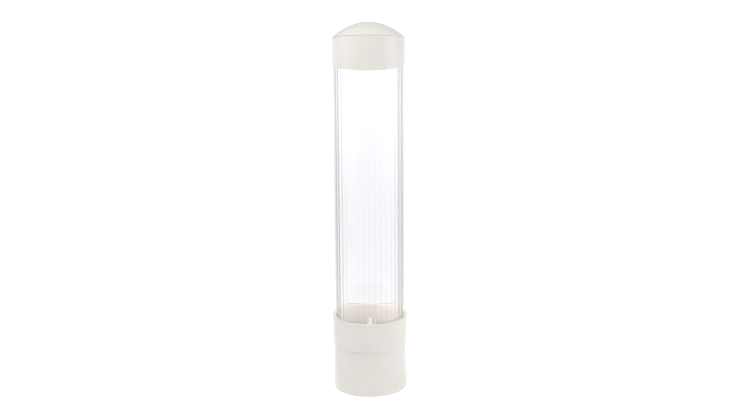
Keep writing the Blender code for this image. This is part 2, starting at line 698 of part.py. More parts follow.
def adhesive_strip(side):
    """Foam tape strip on one half of the block's back."""
    inner_edge = side * PAD_INNER_EDGE
    outer_edge = side * (PAD_INNER_EDGE + PAD_WIDTH)
    return box((min(inner_edge, outer_edge), 0.0, 0.0),
               (max(inner_edge, outer_edge), PAD_THICKNESS, PAD_HEIGHT))


# Assembly

def build_housing(frame, finishes):
    """Everything that stays still on the wall."""
    shell = finishes["shell"]
    rubber = finishes["rubber"]
    add_piece("collar", collar_mesh(), shell, frame, (0.0, 0.0, COLLAR_BOTTOM))
    gasket = flat_ring(TUBE_OUTER_RADIUS - GASKET_WIDTH, TUBE_OUTER_RADIUS, GASKET_THICKNESS)
    add_piece("tube_gasket", gasket, rubber, frame, (0.0, 0.0, GASKET_BOTTOM))
    add_piece("tube", tube_mesh(), finishes["clear"], frame, (0.0, 0.0, TUBE_BOTTOM))
    add_piece("finger_carrier", carrier_mesh(), finishes["inner"], frame, (0.0, 0.0, CARRIER_BOTTOM))
    screw = screw_mesh()
    for number in range(SCREW_COUNT):
        turn = math.radians(screw_start()) + math.tau * number / SCREW_COUNT
        add_piece(f"carrier_screw_{number + 1}", screw, finishes["steel"], frame,
                  on_circle(SCREW_CIRCLE, turn, CARRIER_BOTTOM))
    washer = flat_ring(RING_FLANGE_RADIUS, CARRIER_FLANGE_RADIUS, WASHER_THICKNESS)
    add_piece("slide_washer", washer, finishes["inner"], frame, (0.0, 0.0, WASHER_BOTTOM))
    for name, side in (("mount_pad_left", -1), ("mount_pad_right", 1)):
        add_piece(name, adhesive_strip(side), finishes["foam"], frame,
                  (0.0, BLOCK_BACK + CLEARANCE, COLLAR_BOTTOM + PAD_FOOT_MARGIN))


def build_fingers(frame, finishes):
    """Six fingers and their pins, each with its origin on its hinge."""
    finger = finger_mesh()
    pin = pin_mesh()
    for number in range(FINGER_COUNT):
        turn = math.tau * number / FINGER_COUNT
        place = on_circle(PIVOT_RADIUS, turn, PIVOT_HEIGHT)
        add_piece(f"finger_{number + 1}", finger, finishes["inner"], frame, place, turn)
        add_piece(f"finger_pin_{number + 1}", pin, finishes["steel"], frame, place, turn)


def build_cap(frame, finishes):
    """The pieces that lift off together to load cups."""
    add_piece("cap_band", band_mesh(), finishes["shell"], frame, (0.0, 0.0, CAP_BOTTOM))
    add_piece("cap_dome", dome_mesh(), finishes["shell"], frame, (0.0, 0.0, DOME_BOTTOM))
    seal = flat_ring(TUBE_OUTER_RADIUS - SEAL_WIDTH, TUBE_OUTER_RADIUS, SEAL_THICKNESS)
    add_piece("cap_seal", seal, finishes["rubber"], frame, (0.0, 0.0, SEAL_BOTTOM))


def build():
    """Model the whole dispenser."""
    clear_scene()
    finishes = {
        "shell": make_finish("white_plastic", (0.76, 0.76, 0.75), 0.38),
        "inner": make_finish("natural_plastic", (0.70, 0.70, 0.68), 0.45),
        "clear": make_finish("clear_plastic", (0.95, 0.95, 0.96), 0.06, transmission=1.0),
        "rubber": make_finish("soft_rubber", (0.55, 0.55, 0.54), 0.70),
        "steel": make_finish("zinc_steel", (0.62, 0.62, 0.62), 0.35, metallic=1.0),
        "foam": make_finish("foam_tape", (0.82, 0.82, 0.80), 0.90),
    }
    build_housing(add_frame("housing_frame"), finishes)
    build_fingers(add_frame("finger_frame"), finishes)
    ring = add_frame("ring_axis")
    add_piece("twist_ring", ring_mesh(), finishes["shell"], ring)
    build_cap(add_frame("cap_axis"), finishes)


build()
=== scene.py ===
"""Cup dispenser: the finished pieces, materials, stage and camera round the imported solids.

Every piece takes its place from the solids, in metres, with +Z up and the origin on the
tube's axis at the foot of the adjusting ring.
"""
import math
from functools import partial

import bmesh
import bpy
from bpy.props import FloatProperty, FloatVectorProperty, IntProperty, PointerProperty
from mathutils import Matrix, Vector


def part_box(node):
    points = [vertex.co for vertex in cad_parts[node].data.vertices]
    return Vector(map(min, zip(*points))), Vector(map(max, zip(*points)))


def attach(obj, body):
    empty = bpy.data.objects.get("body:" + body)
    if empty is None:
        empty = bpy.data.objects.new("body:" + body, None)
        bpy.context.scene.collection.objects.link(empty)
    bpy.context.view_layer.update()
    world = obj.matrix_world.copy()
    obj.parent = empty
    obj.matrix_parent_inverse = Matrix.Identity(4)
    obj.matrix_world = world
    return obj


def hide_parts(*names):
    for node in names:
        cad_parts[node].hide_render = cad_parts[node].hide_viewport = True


bl_info = {
    "name": "Cup Dispenser",
    "version": (1, 0, 0),
    "blender": (4, 5, 0),
    "location": "View3D > Sidebar > Dispenser",
    "description": "Builds the finished pieces, the stage and the camera of a tube cup dispenser",
    "category": "Object",
}

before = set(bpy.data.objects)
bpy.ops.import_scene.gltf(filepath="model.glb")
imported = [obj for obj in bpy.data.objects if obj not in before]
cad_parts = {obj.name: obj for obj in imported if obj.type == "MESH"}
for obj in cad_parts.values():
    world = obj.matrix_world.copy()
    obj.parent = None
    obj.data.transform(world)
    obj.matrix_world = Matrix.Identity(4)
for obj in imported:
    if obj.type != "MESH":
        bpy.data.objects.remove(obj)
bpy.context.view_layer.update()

MILLIMETRE = 0.001
MERGE_DISTANCE = 0.000001
# Reach of a joined form into its base, and of the guard lines beside a rounded corner
GUARD = 0.0004
SHARP_ANGLE = 38.0
WHOLE_TURN = math.tau
QUARTER_TURN = math.pi / 2
FRONT_AND_BACK = (QUARTER_TURN, -QUARTER_TURN)

# Faces round the large mouldings, the small turned ones, and a drilled hole
LARGE_COLUMNS = 180
SMALL_COLUMNS = 28
HOLE_COLUMNS = 24
LIP_STEPS = 16
CROWN_STEPS = 36

# How strongly the tube's columns close up towards the flutes; at 1 they would meet there
COLUMN_CROWDING = 0.78
# Small forms, in metres; the soft rings' edge is a fillet in millimetres
BLOCK_EDGE = 0.0005
BLOCK_BLEND = math.radians(1.3)
RIB_SLOPE = 0.12
KEYHOLE_SILL = 0.0003
KEYHOLE_OVERCUT = 0.0010
SCREW_HOLE_SKIN = 0.0007
RAMP_SOFTNESS = 0.0002
STOP_BLEND = math.radians(0.15)
NOSE_FOOT = 0.0018
NOSE_LAND = 0.0022
NOSE_SLOPE = 0.0055
FOLLOWER_ROOT = 0.0015
FOLLOWER_TIP = 0.0008
TAB_HALF_ANGLE = math.radians(4.0)
TAB_PLAY = 0.0003
BORE_REACH = 0.01
HOLE_REACH = 0.002
PIN_PLAY = 0.0003
SCREW_POINT = 0.0008
GASKET_WIDTH = 0.0022
SEAL_WIDTH = 0.0020
SOFT_EDGE = 0.25
STRIP_CORNER = 0.0012
# One arm of a cross recess is cut a little deeper, so that no two faces coincide
RECESS_STAGGER = 1.02


# Settings, with sizes read from the solids where they have them

def foot_of(node):
    """Lowest height of a solid."""
    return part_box(node)[0].z


def top_of(node):
    """Greatest height of a solid."""
    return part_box(node)[1].z


def radius_of(node):
    """Half of a solid's width from left to right."""
    low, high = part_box(node)
    return (high.x - low.x) / 2


def length(description, default):
    """A length in metres."""
    return FloatProperty(description=description, default=default, unit="LENGTH",
                         subtype="DISTANCE", precision=5)


def angle(description, degrees):
    """An angle, its default given in degrees."""
    return FloatProperty(description=description, default=math.radians(degrees),
                         unit="ROTATION", subtype="ANGLE")


def amount(description, default):
    """A plain number."""
    return FloatProperty(description=description, default=default, precision=4)


def number_of(description, default):
    """A whole number of things round the axis."""
    return IntProperty(description=description, default=default, min=2)


def linear(code):
    """Linear red, green and blue of an sRGB hex code."""
    shades = [int(code[place:place + 2], 16) / 255 for place in (1, 3, 5)]
    return tuple(shade / 12.92 if shade <= 0.04045 else ((shade + 0.055) / 1.055) ** 2.4
                 for shade in shades)


def colour(description, code):
    """A colour, its default given as an sRGB hex code."""
    return FloatVectorProperty(description=description, default=linear(code), subtype="COLOR",
                               size=3, min=0.0, max=1.0)


def labelled(group):
    """Name each setting of a group after its own attribute."""
    for name, setting in group.__annotations__.items():
        setting.keywords["name"] = name.replace("_", " ").capitalize()
    return group


@labelled
class TubeSettings(bpy.types.PropertyGroup):
    """Sizes of the clear tube."""
    outer_radius: length("Radius outside", radius_of("tube"))
    wall: length("Thickness between flutes", 0.0015)
    foot: length("Height of the foot", foot_of("tube"))
    top: length("Height of the top", top_of("tube"))
    flute_count: number_of("Flutes round the bore", 36)
    flute_turn: angle("Turn in the collar", -1.0)
    flute_height: length("Flute's height", 0.00010)
    flute_width: length("Crest's half width", 0.00036)
    columns_per_flute: number_of("Faces round a flute", 16)
    edge: length("Chamfer at the ends", 0.00025)


@labelled
class CollarSettings(bpy.types.PropertyGroup):
    """Sizes of the collar and its flat back."""
    outer_radius: length("Radius outside", 0.0457)
    wall: length("Wall's thickness", 0.0020)
    foot: length("Height of the foot", foot_of("collar"))
    top: length("Height of the lip", top_of("collar"))
    lip_overhang: length("Lip's overhang", 0.0006)
    lip_half_height: length("Half of the lip's height", 0.0018)
    shelf_radius: length("Opening in the shelf", 0.0385)
    shelf_low: length("Shelf's underside above the foot", 0.0015)
    shelf_high: length("Shelf's floor above the foot", 0.0045)
    block_half_width: length("Half width of the flat back", 0.0308)
    block_back: length("Flat back's distance from the axis", 0.0452)
    block_drop: length("Block's top below the lip", 0.0022)
    block_corner: length("Radius of the upright corners", 0.0012)
    pocket_wall: length("Wall round the cored pockets", 0.0020)
    pocket_skin: length("Skin on the round wall in a pocket", 0.0004)
    pocket_mouth: length("Narrowest depth of a pocket", 0.0012)
    keyhole_radius: length("Radius of the hanging hole", 0.0030)
    keyhole_slot: length("Half width of the slot above it", 0.0013)
    keyhole_rise: length("Slot's top centre above the hole's", 0.0075)
    rib_count: number_of("Centring ribs inside", 6)
    rib_half_width: length("Half width of a rib", 0.0010)
    rib_tip: length("Radius at a rib's tip", 0.0426)
    rib_drop: length("Ribs' top below the lip", 0.0082)
    rib_lead: length("Slope on top of a rib", 0.0030)


@labelled
class RingSettings(bpy.types.PropertyGroup):
    """Sizes of the adjusting ring."""
    outer_radius: length("Radius outside", radius_of("twist_ring"))
    wall: length("Wall's thickness", 0.0020)
    top: length("Height of the top", top_of("twist_ring"))
    flange_radius: length("Opening in the flange", 0.0415)
    flange_thickness: length("Flange's thickness", 0.0024)
    travel: angle("How far the ring turns", 40.0)
    stop_half_angle: angle("Half angle of a stop with play", 4.4)
    ramp_low: length("Height of the ramps' foot", 0.0170)
    ramp_high: length("Height of the ramps' top", 0.0230)
    ramp_lead: angle("Ramp's run past the travel", 4.0)
    ramp_play: length("Gap from ramp to follower", 0.0005)


@labelled
class FingerSettings(bpy.types.PropertyGroup):
    """Sizes of the fingers, their pins and the carrier."""
    count: number_of("Fingers round the ring", 6)
    pivot_radius: length("Hinges' distance from the axis", 0.0399)
    pivot_height: length("Height of the hinges", 0.0460)
    swing: angle("How far a finger swings in", 8.0)
    knuckle: length("Radius of the head", 0.0019)
    bore: length("Radius of the pin's hole", 0.0013)
    width: length("Blade's width", 0.0100)
    thickness: length("Blade's thickness", 0.0020)
    foot: length("Height of the blade's end", foot_of("finger_1"))
    nose: length("Nose's depth", 0.0019)
    follower_reach: length("Follower's tip from the hinge", 0.0024)
    follower_height: length("Follower's height", 0.0030)
    follower_middle: length("Height of the follower's middle", 0.0200)
    pin_radius: length("Radius of a pin", 0.0010)
    pin_head: length("Radius of a pin's head", 0.0015)
    pin_head_length: length("Length of a pin's head", 0.0008)
    lug_inner: length("Half of the space between lugs", 0.0053)
    lug_outer: length("Half of the width over lugs", 0.0073)
    carrier_bore: length("Radius of the carrier's opening", 0.0380)
    carrier_neck: length("Radius of the neck", 0.0412)
    carrier_flange: length("Radius of the flange", 0.0427)
    carrier_flange_thickness: length("Flange's thickness", 0.0020)
    carrier_foot: length("Height of the flange's underside", 0.0517)
    carrier_top: length("Height of the neck's top", top_of("finger_carrier"))


@labelled
class ScrewSettings(bpy.types.PropertyGroup):
    """Sizes of the screws that hold the carrier."""
    count: number_of("Screws round the carrier", 3)
    circle: length("Distance from the axis", 0.0396)
    radius: length("Radius of the shank", 0.0009)
    hole: length("Radius of the holes", 0.0012)
    head_radius: length("Radius of the head", 0.0015)
    head_length: length("Height of the head", 0.0010)
    foot: length("Height of the head's face", foot_of("carrier_screw_1"))
    tip: length("Height of the tip", top_of("carrier_screw_1"))
    recess_width: length("Width of the cross recess's arm", 0.00045)
    recess_reach: length("Length of the arm", 0.00085)
    recess_depth: length("Depth of the recess", 0.00055)


@labelled
class CapSettings(bpy.types.PropertyGroup):
    """Sizes of the cap; the band's own heights are above its foot."""
    foot: length("Height of the band's foot", foot_of("cap_band"))
    skirt_radius: length("Radius at the band's foot", 0.0435)
    top_radius: length("Radius at the band's rim", 0.0437)
    skirt_bore: length("Bore over the tube", 0.04265)
    height: length("Height of the rim behind", 0.0320)
    wall: length("Wall's thickness", 0.0014)
    arch_rise: length("Rise of the rim at the front", 0.0096)
    arch_blend: amount("Softness of the arch's start", 0.15)
    shoulder_low: length("Shoulder's underside", 0.0106)
    shoulder_high: length("Shoulder's top", 0.0121)
    plug_outer: length("Plug's outside", 0.0399)
    plug_inner: length("Plug's inside", 0.0389)
    plug_low: length("Plug's lower end", 0.0030)
    dome_foot: length("Height of the dome's foot behind", 0.4386)
    dome_rise: length("Crown above the dome's foot", 0.0192)
    dome_radius: length("Radius of the dome's edge", 0.0440)
    dome_edge: length("Height of the upright edge", 0.0005)
    dome_wall: length("Dome's thickness", 0.0016)
    spigot_outer: length("Spigot's outside", 0.0420)
    spigot_inner: length("Spigot's inside", 0.0411)
    spigot_depth: length("Spigot's length", 0.0030)


@labelled
class FinishSettings(bpy.types.PropertyGroup):
    """Colours of the materials."""
    shell: colour("White ABS", "#d5d2cd")
    shell_worn: colour("The same dulled by hands", "#d2cfca")
    inner: colour("Acetal", "#dedcd4")
    clear: colour("Tube seen face on", "#faf9fb")
    # Painted shade: the tube's grey edges and dark flute lines stand in for the darker
    # surroundings refracted there
    clear_edge_painted_shade: colour("Tube seen edge on", "#dad8cb")
    clear_flute_painted_shade: colour("Flute seen from the side", "#565446")
    rubber: colour("Gasket and seal", "#b9b9b5")
    steel: colour("Zinc plate", "#c3c6ca")
    foam: colour("Foam strips", "#e4e3de")
    floor: colour("Paper floor", "#f6f6f6")


@labelled
class StageSettings(bpy.types.PropertyGroup):
    """Floor, lights and camera."""
    floor_radius: length("Radius past every horizon in view", 40.0)
    near_glow: amount("Floor's own light at the object", 0.31)
    middle_glow: amount("The same half a metre off", 0.19)
    far_glow: amount("The same far away", 0.59)
    world_strength: amount("Strength of the surroundings", 0.56)
    left_light: amount("Power at the left", 4.6)
    right_light: amount("Power at the right", 6.4)
    top_light: amount("Power above", 5.5)
    low_light: amount("Power low at the right", 0.27)
    near_light: amount("Power above the cap", 4.7)
    bore_light: amount("Power inside the tube", 0.064)
    lens: FloatProperty(description="Focal length", default=67.2, unit="CAMERA")
    camera_x: length("Camera from left to right", 0.0070)
    camera_y: length("Camera from front to back", -1.6630)
    camera_z: length("Camera's height", 0.6570)
    camera_tilt: angle("Camera from straight down", 75.7)
    camera_roll: angle("Turn about the view", -0.3)


@labelled
class DispenserSettings(bpy.types.PropertyGroup):
    """All settings of the dispenser."""
    tube: PointerProperty(description="Clear tube", type=TubeSettings)
    collar: PointerProperty(description="Collar", type=CollarSettings)
    ring: PointerProperty(description="Adjusting ring", type=RingSettings)
    finger: PointerProperty(description="Fingers and carrier", type=FingerSettings)
    screw: PointerProperty(description="Carrier screws", type=ScrewSettings)
    cap: PointerProperty(description="Cap", type=CapSettings)
    finish: PointerProperty(description="Colours", type=FinishSettings)
    stage: PointerProperty(description="Floor, lights, camera", type=StageSettings)


# Nodes

def add_node(tree, kind, inputs=(), **settings):
    """Add a node, set its own settings, then set or link its inputs by name or number."""
    item = tree.nodes.new(kind)
    for name, value in settings.items():
        setattr(item, name, value)
    for name, value in dict(inputs).items():
        if isinstance(value, bpy.types.NodeSocket):
            tree.links.new(value, item.inputs[name])
        else:
            item.inputs[name].default_value = value
    return item


def worked(tree, operation, *values):
    """Result of a sum on numbers or sockets."""
    return add_node(tree, "ShaderNodeMath", dict(enumerate(values)),
                    operation=operation).outputs[0]


def distance_from_zero(tree, place):
    """Length of a vector."""
    return add_node(tree, "ShaderNodeVectorMath", {0: place}, operation="LENGTH").outputs[1]


def noise(tree, place, scale, detail=2.0, roughness=0.5):
    """Cloudy pattern."""
    return add_node(tree, "ShaderNodeTexNoise",
                    {"Vector": place, "Scale": scale, "Detail": detail,
                     "Roughness": roughness}).outputs["Fac"]


def ranged(tree, value, given, wanted=(0.0, 1.0), kind="SMOOTHSTEP"):
    """A value carried from one range to another."""
    return add_node(tree, "ShaderNodeMapRange",
                    {"Value": value, "From Min": given[0], "From Max": given[1],
                     "To Min": wanted[0], "To Max": wanted[1]},
                    interpolation_type=kind).outputs["Result"]


def gloss(tree, pattern, low, high, given=(0.0, 1.0)):
    """Roughness that follows a pattern between two values."""
    return ranged(tree, pattern, given, (low, high), "LINEAR")


def mixed(tree, factor, first, second):
    """Colour between two, each a shade or a socket."""
    shades = [shade if isinstance(shade, bpy.types.NodeSocket) else (*shade, 1.0)
              for shade in (first, second)]
    return add_node(tree, "ShaderNodeMix", {"Factor": factor, 6: shades[0], 7: shades[1]},
                    data_type="RGBA").outputs[2]


def toned(shade, share):
    """A shade made lighter or darker."""
    return tuple(share * part for part in shade)


def relief(tree, pattern, strength, distance):
    """Normal of a surface bumped by a pattern."""
    return add_node(tree, "ShaderNodeBump",
                    {"Strength": strength, "Distance": distance,
                     "Height": pattern}).outputs["Normal"]


def per_metre(millimetres):
    """Pattern scale that gives features of that many millimetres."""
    return 1 / (millimetres * MILLIMETRE)


# Materials: each function gives the shader's inputs from a pattern on object coordinates

def moulded_white_abs(tree, place, settings):
    """Injection-moulded white ABS: satin, with a fine spark-eroded grain and soft flow marks."""
    finish = settings.finish
    # Flow marks about 30 mm long make the white very slightly uneven, as thin mouldings are
    flow = ranged(tree, noise(tree, place, per_metre(30), 3.0, 0.55), (0.38, 0.68))
    # Handling polishes some patches: the gloss wanders over about 12 mm
    handling = noise(tree, place, per_metre(12), 4.0)
    # The real grain is about 0.1 mm; it is drawn at 0.9 mm so that it shows at all
    grain = noise(tree, place, per_metre(0.9), 2.0, 0.6)
    # Walls of 1.5 to 2 mm let a little warm light through, which lightens the collar's inside
    return {"Base Color": mixed(tree, flow, finish.shell, finish.shell_worn),
            "Roughness": gloss(tree, handling, 0.17, 0.24, (0.3, 0.7)),
            "Normal": relief(tree, grain, 0.10, 0.00004), "IOR": 1.54,
            "Subsurface Weight": 0.3, "Subsurface Radius": (1.0, 0.9, 0.8),
            "Subsurface Scale": 0.0020}


def moulded_natural_acetal(tree, place, settings):
    """Injection-moulded natural acetal: milky, a little waxy, smoother than the ABS."""
    inner = settings.finish.inner
    # Sink and flow make milky clouds about 8 mm across
    cloud = noise(tree, place, per_metre(8), 3.0)
    # Tool marks from milling the mould are about 0.5 mm apart; the bands are drawn at 3 mm
    marks = add_node(tree, "ShaderNodeTexWave",
                     {"Vector": place, "Scale": per_metre(10), "Distortion": 2.0, "Detail": 2.0},
                     bands_direction="Z")
    return {"Base Color": mixed(tree, cloud, inner, toned(inner, 0.90)),
            "Roughness": gloss(tree, cloud, 0.34, 0.48),
            "Normal": relief(tree, marks.outputs["Fac"], 0.12, 0.00003), "IOR": 1.48,
            "Subsurface Weight": 0.12, "Subsurface Radius": (1.0, 0.9, 0.8),
            "Subsurface Scale": 0.0015}


def extruded_clear_polystyrene(tree, place, settings):
    """Extruded clear polystyrene: colourless face on, grey where the wall is seen edge on, partly
    real absorption and partly painted shade.
    """
    finish, tube = settings.finish, settings.tube
    facing = add_node(tree, "ShaderNodeLayerWeight", {"Blend": 0.50}).outputs["Facing"]
    # Painted shade: the wall greys where seen edge on, partly the longer path through it, partly a
    # stand-in for darker surroundings its edges refract and reflect
    wall = mixed(tree, ranged(tree, facing, (0.62, 1.0)), finish.clear, finish.clear_edge_painted_shade)
    # Flutes make the wall thicker; the darker line drawn at each seen from the side is painted
    # shade for the dark surroundings they refract
    parts = add_node(tree, "ShaderNodeSeparateXYZ", {"Vector": place}).outputs
    turn = worked(tree, "ARCTAN2", parts["Y"], parts["X"])
    phase = worked(tree, "MULTIPLY", worked(tree, "SUBTRACT", turn, tube.flute_turn),
                   tube.flute_count)
    crest = ranged(tree, worked(tree, "COSINE", phase), (0.78, 0.97))
    aside = ranged(tree, facing, (0.34, 0.62), (0.05, 1.0))
    line = worked(tree, "MULTIPLY", crest, aside)
    # Die lines run the whole length; they are about 0.2 mm wide and are drawn at 1 mm
    along = (per_metre(1), per_metre(1), per_metre(600))
    stretch = add_node(tree, "ShaderNodeMapping", {"Vector": place, "Scale": along})
    lines = noise(tree, stretch.outputs["Vector"], 1.0)
    # A lamp's light reaches the white walls behind the clear one unbent, as through a thin pane
    shadow = add_node(tree, "ShaderNodeLightPath").outputs["Is Shadow Ray"]
    # Painted shade: the flute lines and the grey edges are mixed into the clear colour here
    return {"Base Color": mixed(tree, line, wall, finish.clear_flute_painted_shade), "Roughness": 0.015,
            "Normal": relief(tree, lines, 0.04, 0.00002), "IOR": 1.49,
            "Transmission Weight": 1.0,
            "Alpha": ranged(tree, shadow, (0.0, 1.0), (1.0, 0.0), "LINEAR")}


def zinc_plated_steel(tree, place, settings):
    """Bright zinc plate on turned steel: pale, faintly blue, with fine turning marks."""
    steel = settings.finish.steel
    # Turning marks are about 0.05 mm; they are drawn at 0.15 mm so that they show
    turning = noise(tree, place, per_metre(0.15))
    plate = noise(tree, place, per_metre(1.5))
    return {"Base Color": mixed(tree, plate, steel, toned(steel, 0.80)),
            "Roughness": gloss(tree, turning, 0.24, 0.42),
            "Normal": relief(tree, turning, 0.15, 0.00001), "Metallic": 1.0}


def cut_soft_rubber(tree, place, settings):
    """Grey elastomer ring, cut from tube: matt, with a faintly powdery bloom."""
    rubber = settings.finish.rubber
    bloom = noise(tree, place, per_metre(2.5), 4.0)
    return {"Base Color": mixed(tree, bloom, rubber, toned(rubber, 1.12)), "Roughness": 0.72,
            "Normal": relief(tree, bloom, 0.25, 0.00005), "IOR": 1.52}


def foamed_tape(tree, place, settings):
    """White closed-cell foam tape: matt, with small cells open on its cut edges."""
    foam = settings.finish.foam
    # The cells are about 0.3 mm; they are drawn at 0.7 mm so that they show
    cells = add_node(tree, "ShaderNodeTexVoronoi",
                     {"Vector": place, "Scale": per_metre(0.7)}).outputs["Distance"]
    return {"Base Color": mixed(tree, cells, toned(foam, 0.88), foam), "Roughness": 0.92,
            "Normal": relief(tree, cells, 0.45, 0.00012), "IOR": 1.45}


def matt_paper_floor(tree, place, settings):
    """Matt white backdrop paper, so evenly lit that it shows no edge."""
    paper, stage = settings.finish.floor, settings.stage
    fibre = noise(tree, place, per_metre(3), 3.0)
    # The paper is lit from below: a little more under the object, so that no shadow shows
    # beside it, and more again far away, so that it stays white to the horizon
    away = distance_from_zero(tree, place)
    pool = ranged(tree, away, (0.10, 0.45), (stage.near_glow, stage.middle_glow))
    rise = ranged(tree, away, (0.2, 2.2), (0.0, stage.far_glow - stage.middle_glow))
    return {"Base Color": mixed(tree, fibre, paper, toned(paper, 0.99)), "Roughness": 0.9,
            "Specular IOR Level": 0.1, "Emission Color": (1.0, 1.0, 1.0, 1.0),
            "Emission Strength": worked(tree, "ADD", pool, rise)}


FINISHES = {
    "shell": moulded_white_abs,
    "inner": moulded_natural_acetal,
    "clear": extruded_clear_polystyrene,
    "rubber": cut_soft_rubber,
    "steel": zinc_plated_steel,
    "foam": foamed_tape,
    "floor": matt_paper_floor,
}


def finish_for(slot, settings):
    """The material of a slot, made once."""
    pattern = FINISHES[slot]
    material = bpy.data.materials.get(pattern.__name__)
    if not material:
        material = bpy.data.materials.new(pattern.__name__)
        material.use_nodes = True
        tree = material.node_tree
        tree.nodes.clear()
        place = add_node(tree, "ShaderNodeTexCoord").outputs["Object"]
        shader = add_node(tree, "ShaderNodeBsdfPrincipled", pattern(tree, place, settings))
        add_node(tree, "ShaderNodeOutputMaterial", {"Surface": shader.outputs["BSDF"]})
    return material


# Meshes

def settled(shape):
    """Close a bmesh's seams and poles, turn its faces outward and store it as a mesh."""
    bmesh.ops.remove_doubles(shape, verts=shape.verts, dist=MERGE_DISTANCE)
    # A Boolean can drop a sliver beside a rounded corner: close it again
    seams = [edge for edge in shape.edges if edge.is_boundary]
    bmesh.ops.holes_fill(shape, edges=seams, sides=3)
    bmesh.ops.recalc_face_normals(shape, faces=shape.faces)
    mesh = bpy.data.meshes.new("shape")
    shape.to_mesh(mesh)
    shape.free()
    return mesh


def on_circle(radius, turn, height=0.0):
    """Point at a radius and an angle in radians."""
    return (radius * math.cos(turn), radius * math.sin(turn), height)


def in_steps(start, sweep, steps):
    """Angles from a start through a sweep, both ends included."""
    return [start + sweep * step / steps for step in range(steps + 1)]


def upright_arc(x, y, z, radius, turns):
    """Points round a centre in the upright plane that faces the front."""
    return [(x + radius * math.cos(turn), y, z + radius * math.sin(turn)) for turn in turns]


def even_turns(count):
    """Angles in even steps round the axis."""
    return [WHOLE_TURN * number / count for number in range(count)]


def with_extra(extra):
    """The large mouldings' angles with more of them added, in order and without repeats."""
    wanted = sorted(turn % WHOLE_TURN for turn in [*even_turns(LARGE_COLUMNS), *extra])
    return [turn for number, turn in enumerate(wanted)
            if number == 0 or turn - wanted[number - 1] > MERGE_DISTANCE]


def rounded(corners, steps=4, closed=True):
    """Profile from corners of radius, height and fillet in millimetres, each fillet an arc
    with a guard point at each side."""
    points = []
    count = len(corners)
    for number, (radius, height, fillet) in enumerate(corners):
        corner = Vector((radius, height))
        if not fillet or (not closed and number in (0, count - 1)):
            points.append((radius, height))
            continue
        fillet *= MILLIMETRE
        back = Vector(corners[number - 1][:2]) - corner
        ahead = Vector(corners[(number + 1) % count][:2]) - corner
        half = back.angle(ahead) / 2
        reach = fillet / math.tan(half)
        sides = [(side.length, side.normalized()) for side in (back, ahead)]
        (back_length, back), (ahead_length, ahead) = sides
        centre = corner + (back + ahead).normalized() * fillet / math.sin(half)
        start, end = corner + back * reach, corner + ahead * reach
        if back_length > 2 * (reach + GUARD):
            points.append(tuple(start + back * GUARD))
        for step in range(steps + 1):
            spoke = (start - centre).normalized().slerp((end - centre).normalized(), step / steps)
            points.append(tuple(centre + spoke * fillet))
        if ahead_length > 2 * (reach + GUARD):
            points.append(tuple(end + ahead * GUARD))
    return points


def turned(profile, turns=None, form=None, closed=True):
    """Carry a profile round the axis; form may move each point by its angle and number."""
    shape = bmesh.new()
    columns = []
    for turn in turns or even_turns(LARGE_COLUMNS):
        column = []
        for number, (radius, height) in enumerate(profile):
            if form:
                radius, height = form(turn, number, radius, height)
            column.append(shape.verts.new(on_circle(radius, turn, height)))
        columns.append(column)
    count = len(profile)
    for place, column in enumerate(columns):
        following = columns[(place + 1) % len(columns)]
        for number in range(count if closed else count - 1):
            after = (number + 1) % count
            shape.faces.new((column[number], following[number], following[after], column[after]))
    return settled(shape)


def small_turned(corners):
    """Small turned part from a profile that starts and ends on the axis."""
    return turned(rounded(corners, closed=False), even_turns(SMALL_COLUMNS), closed=False)


def rod(radius, low, high, columns=SMALL_COLUMNS):
    """Plain round tool for a bore."""
    return turned([(0.0, low), (radius, low), (radius, high), (0.0, high)],
                  even_turns(columns), closed=False)


def flat_ring(inner, outer, low, high, fillet):
    """Ring of rectangular section with rounded edges."""
    return turned(rounded([(inner, low, fillet), (outer, low, fillet),
                           (outer, high, fillet), (inner, high, fillet)]))


def extruded(outline, travel):
    """Extrude a flat outline of 3-D points along a vector."""
    shape = bmesh.new()
    face = shape.faces.new([shape.verts.new(point) for point in outline])
    grown_items = bmesh.ops.extrude_face_region(shape, geom=[face])["geom"]
    corners = [item for item in grown_items if isinstance(item, bmesh.types.BMVert)]
    bmesh.ops.translate(shape, verts=corners, vec=travel)
    return settled(shape)


def block(x, y, low, high):
    """Rectangular block centred on the axis, by its half widths and its two heights."""
    return extruded([(-x, -y, low), (x, -y, low), (x, y, low), (-x, y, low)],
                    (0.0, 0.0, high - low))


def shifted(mesh, x=0.0, y=0.0, z=0.0):
    """The same mesh after a move."""
    mesh.transform(Matrix.Translation((x, y, z)))
    return mesh


def spun(mesh, turn, axis="Z"):
    """The same mesh after a turn."""
    mesh.transform(Matrix.Rotation(turn, 4, axis))
    return mesh


def joined(meshes):
    """Several bodies in one mesh."""
    shape = bmesh.new()
    for mesh in meshes:
        shape.from_mesh(mesh)
        bpy.data.meshes.remove(mesh)
    return settled(shape)


def held(mesh, name="operand"):
    """A mesh in a linked object."""
    holder = bpy.data.objects.new(name, mesh)
    bpy.context.scene.collection.objects.link(holder)
    return holder


def changed(mesh, kind, settings, *others):
    """The mesh after a modifier; it and the other meshes that the modifier used are removed."""
    holders = [held(item) for item in (mesh, *others)]
    step = holders[0].modifiers.new("step", kind)
    for name, value in settings.items():
        setattr(step, name, value)
    if others:
        step.object = holders[1]
    view = bpy.context.evaluated_depsgraph_get()
    result = bpy.data.meshes.new_from_object(holders[0].evaluated_get(view))
    for holder in holders:
        mesh = holder.data
        bpy.data.objects.remove(holder, do_unlink=True)
        bpy.data.meshes.remove(mesh)
    return joined([result])


def combined(base, tools, operation):
    """Union with, or cut by, other closed meshes."""
    return changed(base, "BOOLEAN", {"operation": operation, "solver": "EXACT"}, joined(tools))


def softened(mesh, width):
    """The mesh with its sharp edges rounded by some millimetres, as they leave a mould."""
    return changed(mesh, "BEVEL", {"width": width * MILLIMETRE, "segments": 2,
                                   "limit_method": "ANGLE", "angle_limit": math.radians(30.0)})


